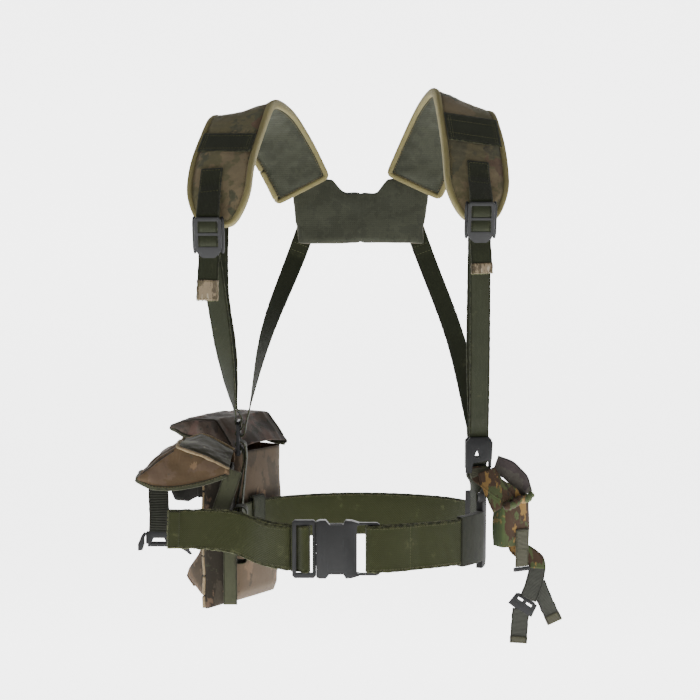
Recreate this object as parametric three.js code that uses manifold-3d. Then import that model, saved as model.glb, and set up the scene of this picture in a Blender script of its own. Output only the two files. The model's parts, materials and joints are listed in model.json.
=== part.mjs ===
// Load-carrying harness: a webbing waist belt with a side-release buckle, a padded shoulder
// yoke, two hip pouches and a small side pouch.  Millimetres, +Z up, front towards -Y.
// The origin is the centre of the belt loop at half the belt's height.
// Left and right are the wearer's: left is +X, right is -X.
import * as THREE from 'three';
import { mergeVertices } from 'three/addons/utils/BufferGeometryUtils.js';
import Module from 'manifold-3d';

const wasm = await Module();
wasm.setup();

// Driving dimensions.
const GAP = 0.3; // running gap between touching pieces
const BELT_HALF_WIDTH = 155; // belt loop, to the middle of the webbing
const BELT_HALF_DEPTH = 115;
const BELT_SIDE_RADIUS = 100; // round of the belt over each hip
const BELT_HEIGHT = 57;
const BELT_WEB = 2.6; // thickness of the belt webbing
const STRAP_WIDTH = 25;
const STRAP_WEB = 1.6;
const BUCKLE_DEPTH = 12; // front to back
const BUCKLE_Y = -121;
const BUCKLE_RAIL = 6; // height of the rails above and below the belt
const BAR = 5; // side of a buckle's webbing bar
const SLEEVE_HEIGHT = 84;
const PAD_WIDTH = 78;
const PAD_FOAM = 8;
const PAD_SKIN = 1.2;
const BINDING = 2.2;
const TAB_WIDTH = 30; // webbing tab that holds a ladder lock
const LOCK_HEIGHT = 42;
const LOCK_THICKNESS = 4;
const CONNECTOR_HEIGHT = 44;
const CONNECTOR_THICKNESS = 4;
const CONNECTOR_BAR = 4;
const CLOTH_WALL = 2.5; // wall of a pouch
const FRONT_POUCH_WIDTH = 80;
const FRONT_POUCH_DEPTH = 38;
const REAR_POUCH_WIDTH = 100;
const REAR_POUCH_DEPTH = 60;
const LID_CLEARANCE = 2.5; // each side, between a lid's skirt and its pouch
const SIDE_POUCH_WIDTH = 43;
const SIDE_POUCH_DEPTH = 30;
const SIDE_STRAP_WIDTH = 22;

const UP = new THREE.Vector3(0, 0, 1);
const LEFTWARD = new THREE.Vector3(1, 0, 0);
const REARWARD = new THREE.Vector3(0, 1, 0);

const object = new THREE.Group();
const colours = {
  olive: 0x4a4f33, darkOlive: 0x32341f, padCamo: 0x7d745c, foam: 0x5b5b52, binding: 0x7f7952,
  lining: 0x3f4235, black: 0x1e2020, pouch: 0x4a4234, pouchLid: 0x5a4f3c, collar: 0x1d1c18,
  greenWeb: 0x2d3021, woodland: 0x55452f, greyWeb: 0x54523f,
};

function add(name, geometry, colour, parent = object, hard = false) {
  const material = new THREE.MeshStandardMaterial({
    color: colours[colour], roughness: hard ? 0.5 : 0.9, metalness: 0,
  });
  const mesh = new THREE.Mesh(geometry, material);
  mesh.name = name;
  parent.add(mesh);
  return mesh;
}

// Geometry from rings of equal length, closed by end caps or joined end to end, facing out.
function loft(rings, closed = false) {
  const size = rings[0].length;
  const points = rings.flat();
  const index = [];
  const spans = closed ? rings.length : rings.length - 1;
  for (let i = 0; i < spans; i++) {
    const next = ((i + 1) % rings.length) * size;
    for (let j = 0; j < size; j++) {
      const k = (j + 1) % size;
      const [a, b, c, d] = [i * size + j, i * size + k, next + k, next + j];
      // Facing sides are split along the same diagonal, so that stacked layers stay parallel.
      index.push(...(j < size / 2 ? [a, b, c, a, c, d] : [a, b, d, b, c, d]));
    }
  }
  if (!closed) {
    const end = (rings.length - 1) * size;
    for (let j = 1; j < size - 1; j++) {
      index.push(0, j + 1, j, end, end + j, end + j + 1);
    }
  }
  let volume = 0;
  for (let i = 0; i < index.length; i += 3) {
    const [a, b, c] = [points[index[i]], points[index[i + 1]], points[index[i + 2]]];
    volume += a.dot(b.clone().cross(c));
  }
  const geometry = new THREE.BufferGeometry();
  const values = points.flatMap((p) => p.toArray());
  geometry.setAttribute('position', new THREE.Float32BufferAttribute(values, 3));
  geometry.setIndex(volume > 0 ? index : index.reverse());
  return geometry;
}

// A stop on a strip of webbing: where its middle is, and which way its width runs.
const stop = (x, y, z, across) => ({ at: new THREE.Vector3(x, y, z), across: across.clone() });

// A flat strip of webbing through its stops.
function webbing(stops, width, thickness, closed = false) {
  const count = stops.length;
  const rings = stops.map(({ at, across }, i) => {
    const before = stops[closed ? (i + count - 1) % count : Math.max(i - 1, 0)].at;
    const after = stops[closed ? (i + 1) % count : Math.min(i + 1, count - 1)].at;
    const tangent = after.clone().sub(before).normalize();
    const side = across.clone().addScaledVector(tangent, -across.dot(tangent)).normalize();
    const face = tangent.clone().cross(side);
    return [[-1, -1], [1, -1], [1, 1], [-1, 1]].map(([a, b]) => at.clone()
      .addScaledVector(side, (a * width) / 2).addScaledVector(face, (b * thickness) / 2));
  });
  return loft(rings, closed);
}

// More stops on a smooth curve through the given ones.
function smooth(stops, perSpan = 3) {
  const curve = new THREE.CatmullRomCurve3(stops.map((s) => s.at), false, 'centripetal');
  const total = (stops.length - 1) * perSpan;
  return Array.from({ length: total + 1 }, (_, i) => {
    const place = i / perSpan;
    const first = Math.min(Math.floor(place), stops.length - 2);
    const across = stops[first].across.clone().lerp(stops[first + 1].across, place - first);
    return { at: curve.getPoint(i / total), across };
  });
}

// Stops round an arc about (x, y) in a flat frame, turned from one angle to another in degrees.
function arc(x, y, radius, from, to, place, steps = 6) {
  return Array.from({ length: steps + 1 }, (_, i) => {
    const angle = THREE.MathUtils.degToRad(from + ((to - from) * i) / steps);
    return place(x + radius * Math.cos(angle), y + radius * Math.sin(angle));
  });
}

// A plate with its outline in the X-Z plane and its thickness centred along Y, less its holes.
function plate(points, thickness, holes = []) {
  const shape = new THREE.Shape(points.map(([x, y]) => new THREE.Vector2(x, y)));
  const geometry = new THREE.ExtrudeGeometry(shape, { depth: thickness, bevelEnabled: false });
  geometry.rotateX(Math.PI / 2);
  geometry.translate(0, thickness / 2, 0);
  return holes.length ? cut(geometry, ...holes.map((hole) => plate(hole, thickness + 2))) : geometry;
}

const box = (x0, x1, z0, z1) => [[x0, z0], [x1, z0], [x1, z1], [x0, z1]];

function chamfered(x0, x1, z0, z1, corner) {
  return [
    [x0 + corner, z0], [x1 - corner, z0], [x1, z0 + corner], [x1, z1 - corner],
    [x1 - corner, z1], [x0 + corner, z1], [x0, z1 - corner], [x0, z0 + corner],
  ];
}

function solid(geometry) {
  const bare = geometry.clone();
  bare.deleteAttribute('normal');
  bare.deleteAttribute('uv');
  const merged = mergeVertices(bare);
  return new wasm.Manifold(new wasm.Mesh({
    numProp: 3,
    vertProperties: new Float32Array(merged.attributes.position.array),
    triVerts: new Uint32Array(merged.index.array),
  }));
}

function geometryOf(manifold) {
  const mesh = manifold.getMesh();
  const geometry = new THREE.BufferGeometry();
  geometry.setAttribute('position', new THREE.BufferAttribute(mesh.vertProperties, 3));
  geometry.setIndex(new THREE.BufferAttribute(mesh.triVerts, 1));
  return geometry;
}

const cut = (body, ...tools) => (
  geometryOf(tools.reduce((rest, tool) => rest.subtract(solid(tool)), solid(body))));
const join = (body, ...more) => geometryOf(more.reduce((sum, tool) => sum.add(solid(tool)), solid(body)));

// The belt's loop is an oval of four arcs; a place on it is named by the way it faces.
const SIDE_CENTRE = BELT_HALF_WIDTH - BELT_SIDE_RADIUS;
const FRONT_RADIUS = (SIDE_CENTRE ** 2 + BELT_HALF_DEPTH ** 2 - BELT_SIDE_RADIUS ** 2)
  / (2 * (BELT_HALF_DEPTH - BELT_SIDE_RADIUS));
const FRONT_CENTRE = FRONT_RADIUS - BELT_HALF_DEPTH;
const SIDE_SPAN = THREE.MathUtils.radToDeg(Math.atan2(FRONT_CENTRE, SIDE_CENTRE));

function onBelt(facing, offset = 0, z = 0) {
  const angle = THREE.MathUtils.degToRad(facing);
  const direction = new THREE.Vector3(Math.cos(angle), Math.sin(angle), 0);
  const onSide = Math.abs(direction.x) >= Math.cos(THREE.MathUtils.degToRad(SIDE_SPAN));
  const centre = onSide
    ? new THREE.Vector3(Math.sign(direction.x) * SIDE_CENTRE, 0, z)
    : new THREE.Vector3(0, -Math.sign(direction.y) * FRONT_CENTRE, z);
  return centre.addScaledVector(direction, (onSide ? BELT_SIDE_RADIUS : FRONT_RADIUS) + offset);
}

function beltStops(from, to, offset, steps) {
  return Array.from({ length: steps + 1 }, (_, i) => ({
    at: onBelt(from + ((to - from) * i) / steps, offset),
    across: UP.clone(),
  }));
}

// A block bent round the belt's path.
function bentBlock(from, to, low, high, height, steps) {
  const rings = Array.from({ length: steps + 1 }, (_, i) => {
    const facing = from + ((to - from) * i) / steps;
    return [[low, -1], [high, -1], [high, 1], [low, 1]]
      .map(([offset, end]) => onBelt(facing, offset, (end * height) / 2));
  });
  return loft(rings);
}

// ---- Belt ----
const RAIL_INSIDE = BELT_HEIGHT / 2 + GAP + 0.4;
const RAIL_OUTSIDE = RAIL_INSIDE + BUCKLE_RAIL;
const BAR_BEND = BAR * Math.SQRT1_2 + GAP + BELT_WEB / 2; // webbing bent round a buckle's bar
const LAYER = BELT_WEB + GAP; // pitch of two layers of belt
const FEMALE_BAR_X = 10.5;
const MALE_BAR_X = -67.5;
const MOUTH_X = -54.4;
const OUTER_BAR_X = -81;
const KEEPER_FACING = [-50, -22];
const SLEEVE_FACING = [-21.5, 32];
const FOLD_END_FACING = -46;
const FRONT_JOIN_FACING = 224; // where the right front stretch of belt meets the band
const BUTT = 0.7; // gap between webbing ends sewn to each other

const foldBack = stop(FEMALE_BAR_X + 14, BUCKLE_Y + BAR_BEND - 0.2, 0, UP);

function beltBand() {
  const start = [stop(foldBack.at.x + BUTT, foldBack.at.y, 0, UP), stop(40, -113.3, 0, UP)];
  return webbing(
    [...start, ...beltStops(-75, FRONT_JOIN_FACING, 0, 44)], BELT_HEIGHT, BELT_WEB);
}

function beltEndFold() {
  const bend = arc(FEMALE_BAR_X, BUCKLE_Y, BAR_BEND, -90, -270, (x, y) => stop(x, y, 0, UP), 8);
  return webbing([
    ...beltStops(FOLD_END_FACING, -69, LAYER, 5),
    ...smooth([
      { at: onBelt(-71, LAYER), across: UP }, stop(52, -115.8, 0, UP),
      stop(36, -122, 0, UP), stop(20, BUCKLE_Y - BAR_BEND + 0.3, 0, UP),
    ], 2),
    ...bend, foldBack,
  ], BELT_HEIGHT, BELT_WEB);
}

function beltFrontRight() {
  const joinUp = onBelt(FRONT_JOIN_FACING + 0.3, 0);
  return webbing(smooth([
    stop(MALE_BAR_X - BUTT, BUCKLE_Y + BAR_BEND, 0, UP), stop(-76, -113.6, 0, UP), stop(-86, -111.8, 0, UP),
    stop(-101, -103.5, 0, UP), stop(-114, -88, 0, UP), { at: joinUp, across: UP },
  ], 3), BELT_HEIGHT, BELT_WEB);
}

function beltWrap() {
  const bend = arc(MALE_BAR_X, BUCKLE_Y, BAR_BEND, -150, 88, (x, y) => stop(x, y, 0, UP), 9);
  const behindOuterBar = BUCKLE_Y + BAR / 2 + GAP + BELT_WEB / 2;
  return webbing([
    stop(OUTER_BAR_X - 4.2, behindOuterBar, 0, UP), stop(OUTER_BAR_X + 3.6, behindOuterBar, 0, UP),
    stop(OUTER_BAR_X + 6.4, BUCKLE_Y + 1.4, 0, UP), ...bend,
  ], BELT_HEIGHT, BELT_WEB);
}

function beltTail() {
  const start = BUCKLE_Y + BAR / 2 + GAP + BELT_WEB / 2;
  const lean = new THREE.Vector3(-0.06, 0.02, 1);
  return webbing(smooth([
    stop(OUTER_BAR_X - 5, start, 0, UP), stop(OUTER_BAR_X - 8, start, 0, UP),
    stop(-104, -110.5, 0, UP), stop(-126, -95, 2, UP), stop(-146, -86.5, 9, UP),
    stop(-166, -89, 14, lean), stop(-200, -98, 17, lean), stop(-234, -107, 18, lean),
  ], 3), BELT_HEIGHT - 2, BELT_WEB);
}

function beltKeeper() {
  const [from, to] = KEEPER_FACING;
  const inside = BELT_WEB / 2 + GAP + 0.2;
  const outside = LAYER + inside;
  const wall = 1.8;
  return cut(
    bentBlock(from, to, -inside - wall, outside + wall, BELT_HEIGHT + 1.2 + 2 * wall, 8),
    bentBlock(from - 2, to + 2, -inside, outside, BELT_HEIGHT + 1.2, 8));
}

function hipSleeve() {
  const [from, to] = SLEEVE_FACING;
  const inside = BELT_WEB / 2 + GAP + 0.2;
  return cut(
    bentBlock(from, to, -inside - 2.2, inside + 2.2, SLEEVE_HEIGHT, 12),
    bentBlock(from - 2, to + 2, -inside, inside, BELT_HEIGHT + 1.5, 12));
}

// ---- Waist buckle ----
const NOTCH_X = [-41, -20];
const CAVITY_DEPTH = 7;
const CAVITY_TOP = RAIL_INSIDE;

function buckleFemale() {
  const half = [
    [MOUTH_X, RAIL_OUTSIDE - 1.5], [MOUTH_X + 4, RAIL_OUTSIDE], [NOTCH_X[0] - 2, RAIL_OUTSIDE],
    [NOTCH_X[0] + 2, RAIL_OUTSIDE - 5], [NOTCH_X[1] - 2, RAIL_OUTSIDE - 5], [NOTCH_X[1] + 1, RAIL_OUTSIDE],
    [-12, RAIL_OUTSIDE - 0.5], [-4, RAIL_OUTSIDE - 3], [18, RAIL_OUTSIDE - 3], [21.6, RAIL_OUTSIDE - 5],
  ];
  const outline = [...half.map(([x, z]) => [x, -z]), ...half.reverse()];
  const window = box(-5.7, FEMALE_BAR_X - BAR / 2, -RAIL_INSIDE, RAIL_INSIDE);
  const open = box(FEMALE_BAR_X + BAR / 2, 30, -RAIL_INSIDE, RAIL_INSIDE);
  const centre = (geometry) => geometry.translate(0, BUCKLE_Y, 0);
  const thin = centre(plate(box(-3, 30, -RAIL_OUTSIDE, RAIL_OUTSIDE), BUCKLE_DEPTH));
  const bars = centre(plate(box(-3, 30, -60, 60), BAR));
  const tube = centre(plate(box(MOUTH_X - 1, -14, -CAVITY_TOP, CAVITY_TOP), CAVITY_DEPTH));
  const notches = [1, -1].map((sign) => centre(plate(
    box(NOTCH_X[0] + 3, NOTCH_X[1] - 3, Math.min(sign * 22, sign * 60), Math.max(sign * 22, sign * 60)),
    CAVITY_DEPTH)));
  const relief = geometryOf(solid(thin).subtract(solid(bars)));
  return cut(
    centre(plate(outline, BUCKLE_DEPTH)), tube, ...notches, relief,
    centre(plate(window, 40)), centre(plate(open, 40)));
}

function buckleMale() {
  const inner = MALE_BAR_X + BAR / 2;
  const outline = chamfered(OUTER_BAR_X - BAR / 2, MOUTH_X - GAP, -RAIL_OUTSIDE, RAIL_OUTSIDE, 3);
  const frame = plate(outline, BAR, [
    box(OUTER_BAR_X + BAR / 2, MALE_BAR_X - BAR / 2, -RAIL_INSIDE, RAIL_INSIDE),
    box(inner, -59, -RAIL_INSIDE, RAIL_INSIDE),
  ]);
  const guide = plate(box(-57, -22, -4, 4), CAVITY_DEPTH - 2.4);
  const roots = [1, -1].map((sign) => plate(
    box(-57, -48, Math.min(sign * 6, sign * 20), Math.max(sign * 6, sign * 20)), CAVITY_DEPTH - 2.4));
  return join(frame, guide, ...roots).translate(0, BUCKLE_Y, 0);
}

// A sprung arm: a slim stem from the root, and a broad head that shows in the notch.
function tine(sign) {
  const half = [
    [-47.4, 12], [-47.4, 19], [-43, 20.5], [NOTCH_X[0] + 2.4, CAVITY_TOP - 5],
    [NOTCH_X[0] + 4.2, CAVITY_TOP - 0.8], [NOTCH_X[1] - 6, CAVITY_TOP - 0.8], [-17, 20], [-17, 14],
    [-24, 12.5],
  ];
  return plate(half.map(([x, z]) => [x, sign * z]), CAVITY_DEPTH - 2.4).translate(0, BUCKLE_Y, 0);
}

add('belt_band', beltBand(), 'olive');
add('belt_front_right', beltFrontRight(), 'olive');
add('belt_end_fold', beltEndFold(), 'olive');
add('belt_keeper', beltKeeper(), 'darkOlive');
add('hip_sleeve', hipSleeve(), 'black');
add('buckle_female', buckleFemale(), 'black', object, true);
add('buckle_male', buckleMale(), 'black', object, true);
add('tine_upper', tine(1), 'black', object, true);
add('tine_lower', tine(-1), 'black', object, true);
add('belt_wrap', beltWrap(), 'olive');
add('belt_tail', beltTail(), 'olive');

// ---- Shoulder yoke ----
const PAD_STEPS = 28;
const PAD_TAPER = 0.16; // share of the pad's length that narrows to the tip
const TIP_SHARE = 0.5; // width at the tip over the full width
const PAD_HALF_THICKNESS = PAD_FOAM / 2 + GAP + PAD_SKIN;

const SHOULDERS = {
  left: {
    hand: 1,
    slope: 0.44,
    line: [
      [142, -99, 394], [139, -86, 430], [138, -63, 467], [134, -38, 503], [126, 6, 539],
      [111, 50, 527], [91, 82, 486], [70, 99, 438],
    ],
    lock: { x: 141, y: -113, z: 394, tilt: 17 },
    connector: { x: 149, y: 0, z: 98, turn: 8 },
    crossAt: [0.335, 0.415],
    tabShift: 1,
    tailDrop: 62,
    hanger: { facing: 15, reach: BELT_WEB / 2 + GAP + 2.4, low: SLEEVE_HEIGHT / 2 },
  },
  right: {
    hand: -1,
    slope: 0.28,
    line: [
      [-173, -99, 386], [-172, -86, 421], [-170, -63, 456], [-162, -36, 489], [-147, 6, 527],
      [-125, 50, 518], [-99, 82, 479], [-76, 99, 433],
    ],
    lock: { x: -182, y: -113, z: 376, tilt: 17 },
    connector: { x: -155.5, y: 2, z: 118, turn: -90 },
    crossAt: [0.31, 0.385],
    tabShift: -9,
    tailDrop: 76,
    hanger: { facing: 178, reach: BELT_WEB / 2, low: BELT_HEIGHT / 2 },
  },
};

// Places along a pad: its middle, the way across it to the outer side, and the way out of it.
function padFrames(shoulder) {
  const knots = shoulder.line.map((p) => new THREE.Vector3(...p));
  const curve = new THREE.CatmullRomCurve3(knots, false, 'centripetal');
  return Array.from({ length: PAD_STEPS + 1 }, (_, i) => {
    const u = i / PAD_STEPS;
    const tangent = curve.getTangentAt(u);
    const crest = Math.exp(-(((u - 0.5) / 0.24) ** 2));
    const side = new THREE.Vector3(shoulder.hand, 0.22 * Math.cos(Math.PI * u), -shoulder.slope * crest);
    side.addScaledVector(tangent, -side.dot(tangent)).normalize();
    const out = tangent.clone().cross(side).multiplyScalar(-shoulder.hand);
    const narrow = Math.max(1 - u / PAD_TAPER, 0) ** 2;
    return { at: curve.getPointAt(u), side, out, half: (PAD_WIDTH / 2) * (1 - (1 - TIP_SHARE) * narrow) };
  });
}

// A layer of a pad between two heights and two shares of its half width.
function padLayer(frames, low, high, from = -1, to = 1) {
  return loft(frames.map(({ at, side, out, half }) => [[from, low], [to, low], [to, high], [from, high]]
    .map(([share, height]) => at.clone().addScaledVector(side, share * half).addScaledVector(out, height))));
}

// The binding runs round the pad's whole edge.
function padBinding(frames) {
  const reach = GAP + 0.5 + BINDING / 2;
  const edge = (frame, share) => ({
    at: frame.at.clone().addScaledVector(frame.side, share * (frame.half + reach)), across: frame.out,
  });
  const first = frames[0];
  const last = frames[PAD_STEPS];
  const ahead = frames[1].at.clone().sub(first.at).normalize();
  const behind = last.at.clone().sub(frames[PAD_STEPS - 1].at).normalize();
  const end = (frame, direction, distance, share) => ({
    at: frame.at.clone().addScaledVector(direction, distance)
      .addScaledVector(frame.side, share * (frame.half + reach)),
    across: frame.out,
  });
  return webbing([
    end(first, ahead, -reach, -1), ...frames.slice(1, -1).map((frame) => edge(frame, -1)),
    end(last, behind, reach, -1), end(last, behind, reach, 1),
    ...frames.slice(1, -1).reverse().map((frame) => edge(frame, 1)), end(first, ahead, -reach, 1),
  ], 2 * PAD_HALF_THICKNESS + 1, BINDING, true);
}

// Maps the flat frame of a piece of hardware (x along its bars, y behind it, z up) to the harness.
function hardwareFrame({ x, y, z, turn = 0, tilt = 0 }) {
  const turned = new THREE.Euler(THREE.MathUtils.degToRad(tilt), 0, THREE.MathUtils.degToRad(turn), 'ZXY');
  return new THREE.Matrix4().compose(
    new THREE.Vector3(x, y, z), new THREE.Quaternion().setFromEuler(turned), new THREE.Vector3(1, 1, 1));
}

const barWay = (frame) => LEFTWARD.clone().transformDirection(frame);
const inFrame = (frame, x, y, z, across = barWay(frame)) => ({
  at: new THREE.Vector3(x, y, z).applyMatrix4(frame), across,
});

const LOCK_WIDTH = TAB_WIDTH + 5;
const LOCK_BARS = { top: 19, upper: 7, grip: -6, bottom: -19 }; // middles of a ladder lock's bars
const LOCK_BAR = 4;
const STRAP_BEND = LOCK_BAR * Math.SQRT1_2 + GAP + STRAP_WEB / 2;

function ladderLock() {
  const slot = TAB_WIDTH + 1;
  const bars = [LOCK_BARS.top, LOCK_BARS.upper, LOCK_BARS.grip, LOCK_BARS.bottom];
  const slots = bars.slice(1).map((z, i) => (
    box(-slot / 2, slot / 2, z + LOCK_BAR / 2, bars[i] - LOCK_BAR / 2)));
  const outline = chamfered(-LOCK_WIDTH / 2, LOCK_WIDTH / 2, -LOCK_HEIGHT / 2, LOCK_HEIGHT / 2, 3);
  return plate(outline, LOCK_THICKNESS, slots);
}

// The tab lies on the pad, runs down to the lock's top bar, turns round it and comes back behind.
function tabWeb(frames, shoulder, lock) {
  const lift = PAD_HALF_THICKNESS + 0.6 + STRAP_WEB / 2;
  const onPad = [6, 5, 4].map((i) => {
    const frame = frames[i];
    const shift = new THREE.Vector3(shoulder.tabShift, 0, 0);
    const at = frame.at.clone().addScaledVector(frame.out, lift).add(shift);
    return { at, across: frame.side.clone().multiplyScalar(shoulder.hand) };
  });
  const bend = arc(0, LOCK_BARS.top, STRAP_BEND, 170, 385, (y, z) => inFrame(lock, 0, y, z), 8);
  const back = inFrame(lock, 0, STRAP_BEND + 0.6, LOCK_BARS.top + 9);
  const above = inFrame(lock, 0, -STRAP_BEND - 0.4, LOCK_BARS.top + 6);
  return webbing([...smooth([...onPad, above, bend[0]], 2), ...bend.slice(1), back], TAB_WIDTH, STRAP_WEB);
}

// The strap's turn through the lock: up behind the grip bar, over it, and down its front.
function strapWrap(lock) {
  const bend = arc(0, LOCK_BARS.grip, STRAP_BEND, 0, 180, (y, z) => inFrame(lock, 0, y, z), 8);
  return webbing([
    inFrame(lock, 0, STRAP_BEND, LOCK_BARS.grip - 8), ...bend,
    inFrame(lock, 0, -STRAP_BEND, LOCK_BARS.bottom - 3),
  ], STRAP_WIDTH, STRAP_WEB);
}

function strapTail(lock, shoulder) {
  const start = LOCK_BARS.bottom - 3 - BUTT;
  const drop = shoulder.tailDrop - LOCK_HEIGHT / 2;
  const across = barWay(lock);
  const foot = new THREE.Vector3(0, -STRAP_BEND, start).applyMatrix4(lock);
  return webbing(smooth([
    inFrame(lock, 0, -STRAP_BEND, start), inFrame(lock, 0, -STRAP_BEND, start - 4),
    stop(foot.x + shoulder.hand, foot.y - 1.5, foot.z - drop * 0.4, across),
    stop(foot.x + 2 * shoulder.hand, foot.y - 4, foot.z - drop, across),
  ], 3), STRAP_WIDTH, STRAP_WEB);
}

const CONNECTOR_WIDTH = STRAP_WIDTH + 9;
const CONNECTOR_BARS = { top: 20, rear: 7, hanger: -7, bottom: -20 };
const CONNECTOR_BEND = CONNECTOR_BAR * Math.SQRT1_2 + GAP + STRAP_WEB / 2;

function connectorPlate() {
  const slot = STRAP_WIDTH + 1.5;
  const bars = Object.values(CONNECTOR_BARS);
  const slots = bars.slice(1).map((z, i) => (
    box(-slot / 2, slot / 2, z + CONNECTOR_BAR / 2, bars[i] - CONNECTOR_BAR / 2)));
  return plate(
    chamfered(-CONNECTOR_WIDTH / 2, CONNECTOR_WIDTH / 2, -CONNECTOR_HEIGHT / 2, CONNECTOR_HEIGHT / 2, 4),
    CONNECTOR_THICKNESS, slots);
}

// One long strap: from the lock down to the connector's top bar, round it, and up to the pad's lining.
function frontStrap(shoulder, lock, connector, frames) {
  const top = inFrame(lock, 0, STRAP_BEND, LOCK_BARS.grip - 8 - BUTT);
  const bend = arc(0, CONNECTOR_BARS.top, CONNECTOR_BEND, 180, 360,
    (y, z) => inFrame(connector, 0, y, z), 8);
  const { hand } = shoulder;
  const [landing, seat] = [1, 4].map((i) => ({
    at: frames[i].at.clone().addScaledVector(frames[i].out, -(PAD_HALF_THICKNESS + 0.5 + STRAP_WEB / 2)),
    across: frames[i].side.clone().multiplyScalar(hand),
  }));
  const side = barWay(lock);
  const outer = bend[0].at;
  const above = (way) => inFrame(connector, 0, way * CONNECTOR_BEND, CONNECTOR_BARS.top + 7);
  const between = (share, x, y) => stop(
    THREE.MathUtils.lerp(top.at.x, outer.x, share) + x, THREE.MathUtils.lerp(top.at.y, outer.y, share) + y,
    THREE.MathUtils.lerp(top.at.z, outer.z, share), side);
  const gap = 7; // between the two strands at mid length
  const twist = (end, share) => side.clone().lerp(end.across, share);
  const front = [0.25, 0.5, 0.75, 0.9].map((share) => ({
    ...between(share, 0, -9 * Math.sin(Math.PI * share)), across: twist(bend[0], share ** 2),
  }));
  const rear = [0.9, 0.75, 0.5, 0.25].map((share) => ({
    ...between(share, -hand * 4 * Math.sin(Math.PI * share), gap - 9 * Math.sin(Math.PI * share)),
    across: twist(bend[8], share ** 2),
  }));
  return webbing([
    top, ...smooth([inFrame(lock, 0, STRAP_BEND, LOCK_BARS.grip - 14), ...front, above(-1), bend[0]], 2),
    ...bend.slice(1, -1), ...smooth([bend[8], above(1), ...rear, landing, seat], 2),
  ], STRAP_WIDTH, STRAP_WEB);
}

// Webbing turned most of the way round a connector's bar, both strands leaving behind it.
function barWrap(connector, bar, way) {
  return arc(0, bar, CONNECTOR_BEND, 60 * way, 300 * way, (y, z) => inFrame(connector, 0, y, z), 9);
}

const PANEL = { y: 109, depth: 10, top: 452, bottom: 360, topHalf: 96, bottomHalf: 84 };

function rearStrap(shoulder, connector) {
  const { hand } = shoulder;
  const wrap = barWrap(connector, CONNECTOR_BARS.rear, 1);
  const way = LEFTWARD.clone().multiplyScalar(Math.sign(wrap[0].across.x) || -1);
  const onPanel = PANEL.y + PANEL.depth + GAP + STRAP_WEB / 2;
  const rise = inFrame(connector, 0, 13, 32);
  const low = stop(hand * 86, onPanel, PANEL.bottom - 14, way);
  const bow = new THREE.Vector3(hand * 8, 6, 0);
  const middle = { at: rise.at.clone().lerp(low.at, 0.5).add(bow), across: way };
  middle.across = rise.across.clone().lerp(way, 0.5);
  return webbing([
    inFrame(connector, 0, 6.4, 19), inFrame(connector, 0, 5.9, 13.5), ...wrap,
    inFrame(connector, 0, 5.2, 2.2), inFrame(connector, 0, 8.2, 7), inFrame(connector, 0, 9.4, 18),
    ...smooth([rise, middle, low], 4),
    stop(hand * 80, onPanel, PANEL.bottom + 2, way), stop(hand * 72, onPanel, PANEL.bottom + 24, way),
  ], STRAP_WIDTH, STRAP_WEB);
}

// A closed band: over the connector's lower bar, down, and round the belt and what covers it.
function connectorHanger(connector, { facing, reach, low }) {
  const wrap = barWrap(connector, CONNECTOR_BARS.hanger, -1);
  const angle = THREE.MathUtils.degToRad(facing);
  const way = new THREE.Vector3(-Math.sin(angle), Math.cos(angle), 0);
  way.multiplyScalar(Math.sign(way.dot(wrap[0].across)));
  const aside = reach + GAP + 0.04 * STRAP_WIDTH + STRAP_WEB / 2;
  const round = (offset, z) => ({ at: onBelt(facing, offset, z), across: way });
  const bend = arc(0, 0, aside, 180, 360, (x, z) => round(x, z - low - 1), 6);
  return webbing([
    ...wrap, inFrame(connector, 0, 8.6, -7), inFrame(connector, 0, 10, -24),
    round(-aside, low + 6), ...bend, round(aside, low + 6),
    inFrame(connector, 0, 7.2, -26), inFrame(connector, 0, 6.2, -16),
  ], STRAP_WIDTH, STRAP_WEB, true);
}

for (const [side, shoulder] of Object.entries(SHOULDERS)) {
  const frames = padFrames(shoulder);
  const lock = hardwareFrame(shoulder.lock);
  const connector = hardwareFrame(shoulder.connector);
  const skin = PAD_FOAM / 2 + GAP;
  const [crossFrom, crossTo] = shoulder.crossAt.map((u) => Math.round(u * PAD_STEPS));
  const crossLift = PAD_HALF_THICKNESS + GAP;
  add(`pad_cover_${side}`, padLayer(frames, skin, skin + PAD_SKIN), 'padCamo');
  add(`pad_foam_${side}`, padLayer(frames, -PAD_FOAM / 2, PAD_FOAM / 2), 'foam');
  add(`pad_lining_${side}`, padLayer(frames, -skin - PAD_SKIN, -skin), 'lining');
  add(`pad_binding_${side}`, padBinding(frames), 'binding');
  add(`pad_cross_web_${side}`,
    padLayer(frames.slice(crossFrom, crossTo + 1), crossLift, crossLift + STRAP_WEB, -0.88, 0.88), 'olive');
  add(`pad_tab_${side}`, tabWeb(frames, shoulder, lock), 'olive');
  add(`ladder_lock_${side}`, ladderLock().applyMatrix4(lock), 'black', object, true);
  add(`strap_wrap_${side}`, strapWrap(lock), 'olive');
  add(`strap_tail_${side}`, strapTail(lock, shoulder), 'olive');
  add(`side_connector_${side}`, connectorPlate().applyMatrix4(connector), 'black', object, true);
  add(`front_strap_${side}`, frontStrap(shoulder, lock, connector, frames), 'olive');
  add(`rear_strap_${side}`, rearStrap(shoulder, connector), 'olive');
  add(`connector_hanger_${side}`, connectorHanger(connector, shoulder.hanger), 'olive');
}

function backPanel() {
  const outline = [
    [-PANEL.bottomHalf, PANEL.bottom], [PANEL.bottomHalf, PANEL.bottom],
    [PANEL.topHalf, PANEL.top - 12], [PANEL.topHalf - 10, PANEL.top], [38, PANEL.top], [22, PANEL.top - 18],
    [-22, PANEL.top - 18], [-38, PANEL.top],
    [10 - PANEL.topHalf, PANEL.top], [-PANEL.topHalf, PANEL.top - 12],
  ];
  return plate(outline, PANEL.depth).translate(0, PANEL.y + PANEL.depth / 2, 0);
}

add('back_panel', backPanel(), 'padCamo');

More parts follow.
